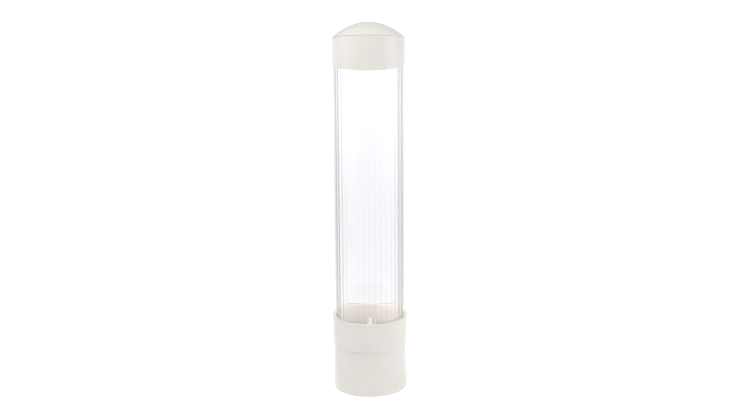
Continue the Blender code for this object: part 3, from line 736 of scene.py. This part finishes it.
def new_tree(name, inputs):
    """Geometry tree with inputs given as kind and names, and the sockets that they feed."""
    tree = bpy.data.node_groups.new(name, "GeometryNodeTree")
    for kind, labels in inputs.items():
        for label in labels:
            tree.interface.new_socket(label, in_out="INPUT", socket_type="NodeSocket" + kind)
    tree.interface.new_socket("Geometry", in_out="OUTPUT", socket_type="NodeSocketGeometry")
    return tree, add_node(tree, "NodeGroupInput").outputs


def end_tree(tree, geometry, material):
    """Close a tree with Realize Instances and Set Material."""
    solid = add_node(tree, "GeometryNodeRealizeInstances", {"Geometry": geometry})
    dressed = add_node(tree, "GeometryNodeSetMaterial",
                       {"Geometry": solid.outputs[0], "Material": material})
    add_node(tree, "NodeGroupOutput", {"Geometry": dressed.outputs[0]})
    return tree


def grown(name, tree, values, base=None):
    """Run a tree with its inputs given by name, and keep the result as a plain mesh."""
    holder = held(base or bpy.data.meshes.new(name), name)
    step = holder.modifiers.new("tree", "NODES")
    step.node_group = tree
    for item in tree.interface.items_tree:
        if item.item_type == "SOCKET" and item.in_out == "INPUT" and item.name in values:
            step[item.identifier] = values[item.name]
    view = bpy.context.evaluated_depsgraph_get()
    result = bpy.data.meshes.new_from_object(holder.evaluated_get(view))
    holder.modifiers.remove(step)
    bpy.data.objects.remove(holder, do_unlink=True)
    return result


def add_piece(name, mesh, slot, body, settings, *nodes):
    """Name and dress a finished mesh, set it on its body and let it stand for its solids."""
    mesh.name = name
    mesh.materials.clear()
    mesh.materials.append(finish_for(slot, settings))
    mesh.shade_smooth()
    mesh.set_sharp_from_angle(angle=math.radians(SHARP_ANGLE))
    piece = held(mesh, name)
    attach(piece, body)
    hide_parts(*nodes)


def eased(value, low, high):
    """Zero at low, one at high, and smooth between them."""
    share = min(max((value - low) / (high - low), 0.0), 1.0)
    return share * share * (3 - 2 * share)


def apart(turn, centre):
    """Signed angle from a centre, between minus and plus half a turn."""
    return (turn - centre + math.pi) % WHOLE_TURN - math.pi


# Clear tube

def fluted_tube_tree():
    """A ring-shaped sweep of the wall's section, its bore pushed in at each flute."""
    tree, given = new_tree("fluted_tube", {
        "Float": ("Outer Radius", "Wall", "Foot", "Top", "Flute Height", "Flute Width", "Edge",
                  "Crowding"),
        "Int": ("Flute Count", "Columns Per Flute"), "Material": ("Material",)})
    plus, minus, times, over = (partial(worked, tree, operation)
                                for operation in ("ADD", "SUBTRACT", "MULTIPLY", "DIVIDE"))
    flutes = given["Flute Count"]
    middle = minus(given["Outer Radius"], times(given["Wall"], 0.5))
    height = minus(given["Top"], given["Foot"])
    path = add_node(tree, "GeometryNodeCurvePrimitiveCircle",
                    {"Resolution": times(flutes, given["Columns Per Flute"]), "Radius": middle},
                    mode="RADIUS")
    level = add_node(tree, "GeometryNodeSetCurveNormal", {"Curve": path.outputs[0]}, mode="Z_UP")
    section = add_node(tree, "GeometryNodeCurvePrimitiveQuadrilateral",
                       {"Width": given["Wall"], "Height": height}, mode="RECTANGLE")
    chamfered = add_node(tree, "GeometryNodeFilletCurve",
                         {"Curve": section.outputs[0], "Count": 1, "Radius": given["Edge"]},
                         mode="POLY")
    sweep = add_node(tree, "GeometryNodeCurveToMesh",
                     {"Curve": level.outputs[0], "Profile Curve": chamfered.outputs[0]})
    place = add_node(tree, "GeometryNodeInputPosition")
    parts = add_node(tree, "ShaderNodeSeparateXYZ", {0: place.outputs[0]}).outputs
    turn = worked(tree, "ARCTAN2", parts["Y"], parts["X"])
    flat = add_node(tree, "ShaderNodeCombineXYZ", {"X": parts["X"], "Y": parts["Y"]})
    radius = distance_from_zero(tree, flat.outputs[0])
    # Columns are crowded towards the flutes, where the bore curves most
    wave = worked(tree, "SINE", times(turn, flutes))
    crowded = minus(turn, over(times(wave, given["Crowding"]), flutes))
    # Distance along the bore from the nearest flute, then a rounded crest
    half_pitch = times(over(WHOLE_TURN, flutes), 0.5)
    aside = times(worked(tree, "PINGPONG", crowded, half_pitch), middle)
    scaled = over(aside, given["Flute Width"])
    crest = worked(tree, "EXPONENT", times(times(scaled, scaled), -1.0))
    inside = times(crest, worked(tree, "LESS_THAN", radius, middle))
    new_radius = minus(radius, times(inside, given["Flute Height"]))
    target = add_node(tree, "ShaderNodeCombineXYZ", {
        "X": times(new_radius, worked(tree, "COSINE", crowded)),
        "Y": times(new_radius, worked(tree, "SINE", crowded)),
        "Z": plus(parts["Z"], plus(times(height, 0.5), given["Foot"]))})
    fluted = add_node(tree, "GeometryNodeSetPosition",
                      {"Geometry": sweep.outputs["Mesh"], "Position": target.outputs[0]})
    return end_tree(tree, fluted.outputs["Geometry"], given["Material"])


class DISPENSER_OT_tube(bpy.types.Operator):
    """Extrude the clear tube with its inner flutes"""
    bl_idname = "dispenser.tube"
    bl_label = "Clear tube"

    def execute(self, context):
        settings = context.scene.dispenser
        size = settings.tube
        names = ("outer_radius", "wall", "foot", "top", "flute_count", "columns_per_flute",
                 "flute_height", "flute_width", "edge")
        values = {name.replace("_", " ").title(): getattr(size, name) for name in names}
        values.update({"Crowding": COLUMN_CROWDING, "Material": finish_for("clear", settings)})
        mesh = spun(grown("clear_tube", fluted_tube_tree(), values), size.flute_turn)
        add_piece("clear_tube", joined([mesh]), "clear", "housing", settings, "tube")
        return {"FINISHED"}


# Collar

def block_reach(size, turn):
    """Distance from the axis to the block's rounded outline, or zero beside it."""
    across = abs(math.cos(turn))
    back = math.sin(turn)
    if back <= 0:
        return 0.0
    side = size.block_half_width / max(across, MERGE_DISTANCE)
    rear = size.block_back / back
    reach = min(side, rear)
    rounding = size.block_corner
    corner = Vector((size.block_half_width - rounding, size.block_back - rounding))
    if reach * across > corner.x and reach * back > corner.y:
        along = corner.x * across + corner.y * back
        rest = rounding ** 2 - corner.length_squared + along ** 2
        reach = along + math.sqrt(max(rest, 0.0))
    return reach


def collar_shell(size):
    """Wall, rolled lip, shelf, centring ribs and back block in one skin."""
    inner = size.outer_radius - size.wall
    height = size.top - size.foot
    middle = (size.outer_radius + inner) / 2
    half_width = size.wall / 2 + size.lip_overhang
    lean = math.acos((size.wall / 2) / half_width)
    lip_centre = height - size.lip_half_height
    lip = [(middle + half_width * math.cos(turn),
            lip_centre + size.lip_half_height * math.sin(turn))
           for turn in in_steps(-lean, math.pi, LIP_STEPS)]
    lip_foot = lip[0][1]
    block_top = height - size.block_drop
    block_round = block_top - BLOCK_EDGE
    rib_top = height - size.rib_drop
    before = rounded([(inner, 0.0, 0.3), (size.outer_radius, 0.0, 0.25),
                      (size.outer_radius, lip_foot, 0)])[:-1]
    before.append((size.outer_radius, lip_foot - GUARD))
    after = rounded([(inner, height - size.lip_half_height + (lip_centre - lip_foot), 0),
                     (inner, rib_top, 0), (inner, rib_top - size.rib_lead, 0),
                     (inner, size.shelf_high, 0.6), (size.shelf_radius, size.shelf_high, 0.4),
                     (size.shelf_radius, size.shelf_low, 0.4), (inner, size.shelf_low, 0.4),
                     (inner, 0.0, 0)])[1:-1]
    lip_start = len(before)
    lip_end = lip_start + LIP_STEPS
    cut = math.acos(size.block_half_width / size.outer_radius)
    rib_half = size.rib_half_width / inner
    rib_draft = RIB_SLOPE * rib_half

    def top_of_block(share, reach):
        """Point on the block's top: a quarter of the way is its outer rounding, the last
        quarter its inner one."""
        if share < 0.25:
            turn = QUARTER_TURN * share / 0.25
            return (reach - BLOCK_EDGE + BLOCK_EDGE * math.cos(turn),
                    block_round + BLOCK_EDGE * math.sin(turn))
        if share > 0.75:
            turn = QUARTER_TURN * (share - 0.75) / 0.25
            return (inner + BLOCK_EDGE - BLOCK_EDGE * math.sin(turn),
                    block_round + BLOCK_EDGE * math.cos(turn))
        run = reach - inner - 2 * BLOCK_EDGE
        return (reach - BLOCK_EDGE - run * (share - 0.25) / 0.5, block_top)

    def form(turn, number, radius, place):
        reach = max(block_reach(size, turn), size.outer_radius)
        aside = min(turn - cut, math.pi - cut - turn)
        blocked = eased(aside, -BLOCK_BLEND, 0.0) if math.sin(turn) > 0 else 0.0
        if lip_start <= number <= lip_end:
            flat = top_of_block((number - lip_start) / LIP_STEPS, reach)
            radius += (flat[0] - radius) * blocked
            place += (flat[1] - place) * blocked
        elif number < lip_start and radius > middle:
            radius = reach - (size.outer_radius - radius)
            if number == lip_start - 1:
                place += (block_round - GUARD - place) * blocked
        elif number > lip_end and size.shelf_high <= place < rib_top - MERGE_DISTANCE:
            nearest = min(abs(apart(turn, centre)) for centre in even_turns(size.rib_count))
            rib = eased(rib_half - nearest, 0.0, rib_draft)
            radius += (min(radius, size.rib_tip) - radius) * rib
        return radius, place

    extra = [centre + side * offset for centre in even_turns(size.rib_count)
             for offset in (rib_half, rib_half - rib_draft / 2, rib_half - rib_draft)
             for side in (-1, 1)]
    corner_low = math.atan2(size.block_back - size.block_corner, size.block_half_width)
    corner_high = math.atan2(size.block_back, size.block_half_width - size.block_corner)
    for turn in (*in_steps(corner_low, corner_high - corner_low, 8),
                 *in_steps(cut, -BLOCK_BLEND, 6)):
        extra += [turn, math.pi - turn]
    return turned(before + lip + after, with_extra(extra), form)


def core_pocket(size, side):
    """Space cored out of the block from below, on one side of the keyhole."""
    outer_edge = size.block_half_width - size.pocket_wall
    back = size.block_back - size.pocket_wall
    reach = size.outer_radius + size.pocket_skin
    start = math.acos(outer_edge / reach)
    end = math.asin((back - size.pocket_mouth) / reach)
    depth = size.top - size.foot - size.block_drop - size.pocket_wall
    outline = [(reach * math.cos(end), back, -GUARD), (outer_edge, back, -GUARD)]
    outline += [on_circle(reach, turn, -GUARD) for turn in in_steps(start, end - start, 16)]
    outline = [(side * x, y, z) for x, y, z in outline]
    return softened(extruded(outline, (0.0, 0.0, depth + GUARD)), 0.3)


def keyhole(size):
    """Hanging hole: a round entry with a narrow slot above it."""
    lean = math.asin(size.keyhole_slot / size.keyhole_radius)
    front = size.outer_radius - size.wall - KEYHOLE_OVERCUT
    centre = size.shelf_high + KEYHOLE_SILL + size.keyhole_radius
    outline = upright_arc(0.0, front, centre, size.keyhole_radius,
                          in_steps(QUARTER_TURN + lean, WHOLE_TURN - 2 * lean, 32))
    outline += upright_arc(0.0, front, centre + size.keyhole_rise, size.keyhole_slot,
                           in_steps(0.0, math.pi, 16))
    return extruded(outline, (0.0, size.block_back - front + KEYHOLE_OVERCUT, 0.0))


def screw_holes(size, low, high):
    """Round holes on the screws' circle."""
    start = WHOLE_TURN / size.count / 4
    return [shifted(rod(size.hole, low, high, HOLE_COLUMNS),
                    *on_circle(size.circle, turn + start)) for turn in even_turns(size.count)]


class DISPENSER_OT_collar(bpy.types.Operator):
    """Mould the collar with its lip, shelf, centring ribs, flat back and keyhole"""
    bl_idname = "dispenser.collar"
    bl_label = "Collar"

    def execute(self, context):
        settings = context.scene.dispenser
        size = settings.collar
        mesh = collar_shell(size)
        for tools in ([core_pocket(size, side) for side in (-1, 1)], [keyhole(size)],
                      screw_holes(settings.screw, 0.0, size.shelf_high - SCREW_HOLE_SKIN)):
            mesh = combined(mesh, tools, "DIFFERENCE")
        add_piece("moulded_collar", shifted(mesh, z=size.foot), "shell", "housing", settings,
                  "collar")
        return {"FINISHED"}


# Adjusting ring

def ramp_depth(ring, finger, turn):
    """How far a ramp stands in from the ring's bore, at an angle."""
    lead = ring.ramp_lead
    pitch = WHOLE_TURN / finger.count
    past = (turn + lead) % pitch
    driven = lead - past if past < lead else pitch - turn % pitch
    if driven > ring.travel + lead:
        return 0.0
    swing = driven * finger.swing / ring.travel
    drop = finger.pivot_height - finger.follower_middle
    face = (finger.pivot_radius + finger.follower_reach * math.cos(swing)
            - drop * math.sin(swing) + ring.ramp_play)
    return max(ring.outer_radius - ring.wall - face, 0.0)


class DISPENSER_OT_ring(bpy.types.Operator):
    """Mould the adjusting ring with its flange, stop notches and spiral ramps"""
    bl_idname = "dispenser.ring"
    bl_label = "Adjusting ring"

    def execute(self, context):
        settings = context.scene.dispenser
        size, finger = settings.ring, settings.finger
        inner = size.outer_radius - size.wall
        flange_low = size.top - size.flange_thickness
        outside = rounded([(inner, 0.0, 0.5), (size.outer_radius, 0.0, 0.7),
                           (size.outer_radius, size.top, 0.3), (size.flange_radius, size.top, 0.2),
                           (size.flange_radius, flange_low, 0.2), (inner, flange_low, 0)])
        # A ramp's section, as depths from its edge and shares of its full reach
        section = ((0.0, 0.0), (0.0, 0.86), (RAMP_SOFTNESS / 3, 0.95), (RAMP_SOFTNESS, 1.0),
                   (RAMP_SOFTNESS + GUARD, 1.0))
        shares = ([(size.ramp_high - depth, share) for depth, share in section]
                  + [(size.ramp_low + depth, share) for depth, share in reversed(section)])
        profile = outside + [(inner, height) for height, share in shares]
        half = size.stop_half_angle

        def form(turn, number, radius, height):
            if number >= len(outside):
                share = shares[number - len(outside)][1]
                return radius - ramp_depth(size, finger, turn) * share, height
            if height > flange_low - MERGE_DISTANCE and radius < inner:
                offsets = [apart(turn, centre) for centre in FRONT_AND_BACK]
                inside = max(eased(min(offset + size.travel + half, half - offset), 0.0,
                                   STOP_BLEND) for offset in offsets)
                radius = min(radius + (inner - size.flange_radius) * inside, inner)
            return radius, height

        ramp_end = WHOLE_TURN / finger.count - size.travel - size.ramp_lead
        extra = [start + ramp_end + offset for start in even_turns(finger.count)
                 for offset in (-2 * MERGE_DISTANCE, 2 * MERGE_DISTANCE, STOP_BLEND)]
        for centre in FRONT_AND_BACK:
            for edge in (centre - size.travel - half, centre + half - STOP_BLEND):
                extra += in_steps(edge, STOP_BLEND, 2)
        mesh = turned(profile, with_extra(extra), form)
        add_piece("adjusting_ring", mesh, "shell", "ring", settings, "twist_ring")
        return {"FINISHED"}


# Cap

def lifted(mesh, size, floor):
    """Raise what lies above a floor to the arched parting line, full at the front."""
    blend = size.arch_blend
    for vertex in mesh.vertices:
        radius = math.hypot(vertex.co.x, vertex.co.y)
        if radius > MERGE_DISTANCE and vertex.co.z > floor:
            front = -vertex.co.y / radius
            share = (front + math.hypot(front, blend)) / (1 + math.hypot(1, blend))
            vertex.co.z += size.arch_rise * share * (radius / size.top_radius) ** 2
    return mesh


class DISPENSER_OT_cap_band(bpy.types.Operator):
    """Mould the cap's band with its skirt, plug, shoulder and arched rim"""
    bl_idname = "dispenser.cap_band"
    bl_label = "Cap band"

    def execute(self, context):
        settings = context.scene.dispenser
        size = settings.cap
        wall_inner = size.top_radius - size.wall
        mesh = turned(rounded([
            (size.skirt_radius, 0.0, 0.5), (size.top_radius, size.height, 0.25),
            (wall_inner, size.height, 0.3), (wall_inner, size.shoulder_high, 0.8),
            (size.plug_inner, size.shoulder_high, 0.4), (size.plug_inner, size.plug_low, 0.3),
            (size.plug_outer, size.plug_low, 0.5), (size.plug_outer, size.shoulder_low, 0.3),
            (size.skirt_bore, size.shoulder_low, 0.3), (size.skirt_bore, 0.0, 0.3)]))
        mesh = lifted(mesh, size, (size.shoulder_high + size.height) / 2)
        add_piece("moulded_cap_band", shifted(mesh, z=size.foot), "shell", "cap", settings,
                  "cap_band")
        return {"FINISHED"}


class DISPENSER_OT_cap_dome(bpy.types.Operator):
    """Mould the crowned lid whose edge follows the band's arched rim"""
    bl_idname = "dispenser.cap_dome"
    bl_label = "Cap dome"

    def execute(self, context):
        settings = context.scene.dispenser
        size = settings.cap

        def crown(radius, drop=0.0):
            rise = size.dome_rise - size.dome_edge
            return (radius, size.dome_edge + rise * (1 - (radius / size.dome_radius) ** 2) - drop)

        crown_end = size.dome_radius - GUARD
        profile = [crown(crown_end * step / CROWN_STEPS) for step in range(CROWN_STEPS)]
        profile += rounded([(*crown(crown_end), 0), (size.dome_radius, size.dome_edge, 0.2),
                            (size.dome_radius, 0.0, 0.1), (size.spigot_outer, 0.0, 0),
                            (size.spigot_outer, -size.spigot_depth, 0.3),
                            (size.spigot_inner, -size.spigot_depth, 0.2),
                            (*crown(size.spigot_inner, size.dome_wall), 0)], closed=False)[:-1]
        profile += [crown(size.spigot_inner * step / CROWN_STEPS, size.dome_wall)
                    for step in range(CROWN_STEPS, -1, -1)]
        mesh = lifted(turned(profile, closed=False), size, -size.spigot_depth - 0.3 * MILLIMETRE)
        add_piece("moulded_cap_dome", shifted(mesh, z=size.dome_foot), "shell", "cap", settings,
                  "cap_dome")
        return {"FINISHED"}


# Fingers, carrier and fixings

def round_axis_tree():
    """Copies of a piece made about its own origin, set round the axis with +X outward."""
    tree, given = new_tree("round_axis", {
        "Geometry": ("Geometry",), "Int": ("Count",), "Material": ("Material",),
        "Float": ("Pitch", "Start", "Radius", "Height")})
    number = add_node(tree, "GeometryNodeInputIndex").outputs[0]
    turn = worked(tree, "MULTIPLY_ADD", number, given["Pitch"], given["Start"])
    place = add_node(tree, "ShaderNodeCombineXYZ", {
        "X": worked(tree, "MULTIPLY", worked(tree, "COSINE", turn), given["Radius"]),
        "Y": worked(tree, "MULTIPLY", worked(tree, "SINE", turn), given["Radius"]),
        "Z": given["Height"]})
    points = add_node(tree, "GeometryNodePoints",
                      {"Count": given["Count"], "Position": place.outputs[0]})
    facing = add_node(tree, "ShaderNodeCombineXYZ", {"Z": turn})
    copies = add_node(tree, "GeometryNodeInstanceOnPoints",
                      {"Points": points.outputs[0], "Instance": given["Geometry"],
                       "Rotation": facing.outputs[0]})
    return end_tree(tree, copies.outputs["Instances"], given["Material"])


def set_round(name, base, slot, settings, count, radius, height, start=0.0):
    """Mesh with copies of a base set round the axis by the shared tree."""
    tree = bpy.data.node_groups.get("round_axis") or round_axis_tree()
    return grown(name, tree, {
        "Count": count, "Pitch": WHOLE_TURN / count, "Start": start, "Radius": radius,
        "Height": height, "Material": finish_for(slot, settings)}, base)


def finger_blade(size):
    """Blade with a round knuckle, a nose for the cup's rim and a follower on its back."""
    half = size.thickness / 2
    reach = size.pivot_height - size.foot
    bend = math.asin(half / size.knuckle)
    side = -size.width / 2
    land_low = NOSE_FOOT - reach
    land_high = land_low + NOSE_LAND
    nose = -half - size.nose
    outline = upright_arc(0.0, side, 0.0, size.knuckle,
                          in_steps(bend - QUARTER_TURN, WHOLE_TURN - 2 * bend, 24))
    outline += [(x, side, z) for x, z in (
        (-half, land_high + NOSE_SLOPE), (nose, land_high), (nose, land_low), (-half, -reach),
        (half, -reach))]
    blade = softened(extruded(outline, (0.0, size.width, 0.0)), 0.25)
    low = size.follower_middle - size.pivot_height - size.follower_height / 2
    root, tip = half - GUARD, size.follower_reach
    pad = [(root, -FOLLOWER_ROOT, low), (tip, -FOLLOWER_TIP, low), (tip, FOLLOWER_TIP, low),
           (root, FOLLOWER_ROOT, low)]
    follower = softened(extruded(pad, (0.0, 0.0, size.follower_height)), 0.15)
    bore = spun(rod(size.bore, -size.width, size.width), QUARTER_TURN, "X")
    return combined(combined(blade, [follower], "UNION"), [bore], "DIFFERENCE")


class DISPENSER_OT_fingers(bpy.types.Operator):
    """Mould the fingers that the lowest cup's rim rests on, one on each hinge"""
    bl_idname = "dispenser.fingers"
    bl_label = "Fingers"

    def execute(self, context):
        settings = context.scene.dispenser
        size = settings.finger
        for number, (letter, turn) in enumerate(zip("abcdef", even_turns(size.count)), 1):
            name = f"moulded_finger_{letter}"
            mesh = set_round(name, finger_blade(size), "inner", settings, 1, size.pivot_radius,
                             size.pivot_height, turn)
            add_piece(name, mesh, "inner", f"finger_{letter}", settings, f"finger_{number}")
        return {"FINISHED"}


class DISPENSER_OT_carrier(bpy.types.Operator):
    """Mould the carrier with its neck, flange, hinge lugs and stop tabs, and its washer"""
    bl_idname = "dispenser.carrier"
    bl_label = "Finger carrier"

    def execute(self, context):
        settings = context.scene.dispenser
        size, ring = settings.finger, settings.ring
        neck_height = size.carrier_top - size.carrier_foot
        flange_high = size.carrier_flange_thickness
        mesh = turned(rounded([
            (size.carrier_bore, 0.0, 0.15), (size.carrier_flange, 0.0, 0.3),
            (size.carrier_flange, flange_high, 0.3), (size.carrier_neck, flange_high, 0.2),
            (size.carrier_neck, neck_height, 0.3), (size.carrier_bore, neck_height, 0.3)]))
        drop = size.pivot_height - size.carrier_foot
        lugs, tabs, bores = [], [], []
        for turn in even_turns(size.count):
            for side in (size.lug_inner, -size.lug_outer):
                outline = [(size.pivot_radius + edge * size.knuckle, side, GUARD)
                           for edge in (1, -1)]
                outline += upright_arc(size.pivot_radius, side, drop, size.knuckle,
                                       in_steps(math.pi, math.pi, 16))
                lug = extruded(outline, (0.0, size.lug_outer - size.lug_inner, 0.0))
                lugs.append(spun(softened(lug, 0.2), turn))
            bore = spun(rod(size.bore, -BORE_REACH, BORE_REACH), QUARTER_TURN, "X")
            bores.append(spun(shifted(bore, size.pivot_radius, 0.0, drop), turn))
        low = ring.top - ring.flange_thickness - size.carrier_foot
        for turn in FRONT_AND_BACK:
            arc = [turn + TAB_HALF_ANGLE * (step - 6) / 6 for step in range(13)]
            outline = [on_circle(size.carrier_neck - GUARD, place, low) for place in arc]
            outline += [on_circle(size.carrier_flange, place, low) for place in reversed(arc)]
            tab = extruded(outline, (0.0, 0.0, ring.flange_thickness - TAB_PLAY))
            tabs.append(softened(tab, 0.2))
        holes = screw_holes(settings.screw, -HOLE_REACH, neck_height + HOLE_REACH)
        for tools, operation in ((lugs, "UNION"), (tabs, "UNION"), (bores, "DIFFERENCE"),
                                 (holes, "DIFFERENCE")):
            mesh = combined(mesh, tools, operation)
        add_piece("moulded_carrier", shifted(mesh, z=size.carrier_foot), "inner", "housing",
                  settings, "finger_carrier")
        low, high = foot_of("slide_washer"), top_of("slide_washer")
        washer = flat_ring(ring.flange_radius, size.carrier_flange, low, high,
                           (high - low) / 4 / MILLIMETRE)
        add_piece("running_washer", washer, "inner", "housing", settings, "slide_washer")
        return {"FINISHED"}


class DISPENSER_OT_pins(bpy.types.Operator):
    """Set a headed hinge pin through each finger"""
    bl_idname = "dispenser.pins"
    bl_label = "Hinge pins"

    def execute(self, context):
        settings = context.scene.dispenser
        size = settings.finger
        end = size.lug_outer + PIN_PLAY
        tip = end + size.pin_head_length
        pin = small_turned([(0.0, -end, 0), (size.pin_radius, -end, 0.3),
                            (size.pin_radius, end, 0.1), (size.pin_head, end, 0.2),
                            (size.pin_head, tip, 0.4), (0.0, tip, 0)])
        mesh = set_round("hinge_pins", spun(pin, -QUARTER_TURN, "X"), "steel", settings,
                         size.count, size.pivot_radius, size.pivot_height)
        nodes = [f"finger_pin_{number + 1}" for number in range(size.count)]
        add_piece("hinge_pins", mesh, "steel", "housing", settings, *nodes)
        return {"FINISHED"}


class DISPENSER_OT_screws(bpy.types.Operator):
    """Drive the pan-head screws with a cross recess up through the carrier"""
    bl_idname = "dispenser.screws"
    bl_label = "Carrier screws"

    def execute(self, context):
        settings = context.scene.dispenser
        size = settings.screw
        total = size.tip - size.foot
        screw = small_turned([
            (0.0, 0.0, 0), (size.head_radius, 0.0, 0.5), (size.head_radius, size.head_length, 0.1),
            (size.radius, size.head_length, 0.1), (size.radius, total - SCREW_POINT, 0.3),
            (0.0, total, 0)])
        arm, half, deep = size.recess_reach, size.recess_width / 2, size.recess_depth
        cross = combined(block(arm, half, -GUARD, deep),
                         [block(half, arm, -GUARD, deep * RECESS_STAGGER)], "UNION")
        screw = combined(screw, [cross], "DIFFERENCE")
        mesh = set_round("carrier_screws", screw, "steel", settings, size.count, size.circle,
                         size.foot, WHOLE_TURN / size.count / 4)
        nodes = [f"carrier_screw_{number + 1}" for number in range(size.count)]
        add_piece("carrier_screws", mesh, "steel", "housing", settings, *nodes)
        return {"FINISHED"}


class DISPENSER_OT_soft_rings(bpy.types.Operator):
    """Cut the gasket under the tube and the seal under the cap, with rounded edges"""
    bl_idname = "dispenser.soft_rings"
    bl_label = "Gasket and seal"

    def execute(self, context):
        settings = context.scene.dispenser
        for name, node, body, width in (
                ("cut_gasket", "tube_gasket", "housing", GASKET_WIDTH),
                ("cut_seal", "cap_seal", "cap", SEAL_WIDTH)):
            outer = radius_of(node)
            ring = flat_ring(outer - width, outer, foot_of(node), top_of(node), SOFT_EDGE)
            add_piece(name, ring, "rubber", body, settings, node)
        return {"FINISHED"}


class DISPENSER_OT_pads(bpy.types.Operator):
    """Stick the two foam strips on the collar's flat back"""
    bl_idname = "dispenser.pads"
    bl_label = "Foam strips"

    def execute(self, context):
        settings = context.scene.dispenser
        for side in ("left", "right"):
            node = f"mount_pad_{side}"
            low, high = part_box(node)
            outline = []
            for number, (x, z) in enumerate(((1, 1), (-1, 1), (-1, -1), (1, -1))):
                centre_x = (high.x if x > 0 else low.x) - x * STRIP_CORNER
                centre_z = (high.z if z > 0 else low.z) - z * STRIP_CORNER
                outline += upright_arc(centre_x, low.y, centre_z, STRIP_CORNER,
                                       in_steps(QUARTER_TURN * number, QUARTER_TURN, 6))
            strip = softened(extruded(outline, (0.0, high.y - low.y, 0.0)), 0.15)
            add_piece(f"foam_strip_{side}", strip, "foam", "housing", settings, node)
        return {"FINISHED"}


# Stage

def soft_light(name, size, power, place, target, mirrored=True, tint=(1.0, 1.0, 1.0)):
    """Square soft light that faces a target, mirrored in glossy and clear surfaces or not."""
    lamp = bpy.data.lights.new(name, "AREA")
    lamp.shape = "SQUARE"
    lamp.size = size
    lamp.energy = power
    lamp.color = tint
    holder = bpy.data.objects.new(name, lamp)
    holder.location = place
    holder.rotation_euler = (Vector(target) - Vector(place)).to_track_quat("-Z", "Y").to_euler()
    holder.visible_camera = False
    holder.visible_glossy = holder.visible_transmission = mirrored
    bpy.context.scene.collection.objects.link(holder)


class DISPENSER_OT_stage(bpy.types.Operator):
    """Lay the pale floor and set the surroundings, the soft lights and the camera"""
    bl_idname = "dispenser.stage"
    bl_label = "Stage, lights and camera"

    def execute(self, context):
        settings = context.scene.dispenser
        stage = settings.stage
        scene = context.scene
        shape = bmesh.new()
        bmesh.ops.create_circle(shape, cap_ends=True, segments=96, radius=stage.floor_radius)
        mesh = bpy.data.meshes.new("paper_floor")
        shape.to_mesh(mesh)
        shape.free()
        mesh.materials.append(finish_for("floor", settings))
        held(mesh, "paper_floor")
        world = bpy.data.worlds.new("white_surroundings")
        world.use_nodes = True
        world.node_tree.nodes.clear()
        sky = add_node(world.node_tree, "ShaderNodeBackground",
                       {"Color": (1.0, 1.0, 1.0, 1.0), "Strength": stage.world_strength})
        add_node(world.node_tree, "ShaderNodeOutputWorld", {"Surface": sky.outputs[0]})
        scene.world = world
        middle = (0.0, 0.0, 0.24)
        soft_light("left_softbox", 1.5, stage.left_light, (-1.36, -0.64, 0.30), middle)
        soft_light("right_softbox", 1.25, stage.right_light, (1.46, -0.36, 0.30), middle)
        soft_light("top_softbox", 1.2, stage.top_light, (0.0, -0.3, 2.0), middle)
        soft_light("low_softbox", 0.22, stage.low_light, (0.45, -0.22, 0.14), (0.0, 0.0, 0.04),
                   False)
        soft_light("near_softbox", 0.7, stage.near_light, (-0.28, -0.32, 1.15), (0.0, 0.0, 0.42))
        # The fluted wall gathers a little warm light on the collar's back
        soft_light("bore_softbox", 0.045, stage.bore_light, (0.003, -0.012, 0.121),
                   (-0.006, 0.045, 0.072), False, (1.0, 0.965, 0.87))
        camera = bpy.data.cameras.new("photo_camera")
        camera.lens = stage.lens
        camera.sensor_width = 36.0
        camera.clip_start = 0.01
        holder = bpy.data.objects.new("photo_camera", camera)
        holder.matrix_world = (Matrix.Translation((stage.camera_x, stage.camera_y, stage.camera_z))
                               @ Matrix.Rotation(stage.camera_tilt, 4, "X")
                               @ Matrix.Rotation(stage.camera_roll, 4, "Z"))
        scene.collection.objects.link(holder)
        scene.camera = holder
        scene.view_settings.view_transform = "Standard"
        scene.view_settings.look = "None"
        scene.cycles.use_denoising = True
        scene.cycles.transmission_bounces = 16
        scene.cycles.max_bounces = 24
        scene.cycles.diffuse_bounces = 12
        return {"FINISHED"}


# Panel and registration

PIECES = (DISPENSER_OT_tube, DISPENSER_OT_collar, DISPENSER_OT_ring, DISPENSER_OT_cap_band,
          DISPENSER_OT_cap_dome, DISPENSER_OT_fingers, DISPENSER_OT_carrier, DISPENSER_OT_pins,
          DISPENSER_OT_screws, DISPENSER_OT_soft_rings, DISPENSER_OT_pads, DISPENSER_OT_stage)


class DISPENSER_PT_pieces(bpy.types.Panel):
    """Lists every operator of the dispenser"""
    bl_idname = "DISPENSER_PT_pieces"
    bl_label = "Cup dispenser"
    bl_space_type = "VIEW_3D"
    bl_region_type = "UI"
    bl_category = "Dispenser"

    def draw(self, context):
        column = self.layout.column(align=True)
        for piece in PIECES:
            column.operator(piece.bl_idname, text=piece.bl_label)


CLASSES = (TubeSettings, CollarSettings, RingSettings, FingerSettings, ScrewSettings, CapSettings,
           FinishSettings, StageSettings, DispenserSettings, *PIECES, DISPENSER_PT_pieces)


def register():
    """Register the classes and hang the settings on the scene."""
    for item in CLASSES:
        bpy.utils.register_class(item)
    bpy.types.Scene.dispenser = PointerProperty(type=DispenserSettings)


def unregister():
    """Take the settings and the classes away again."""
    del bpy.types.Scene.dispenser
    for item in reversed(CLASSES):
        bpy.utils.unregister_class(item)


def main():
    """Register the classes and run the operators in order."""
    register()
    for piece in PIECES:
        group, name = piece.bl_idname.split(".")
        getattr(getattr(bpy.ops, group), name)()


if __name__ == "__main__":
    main()
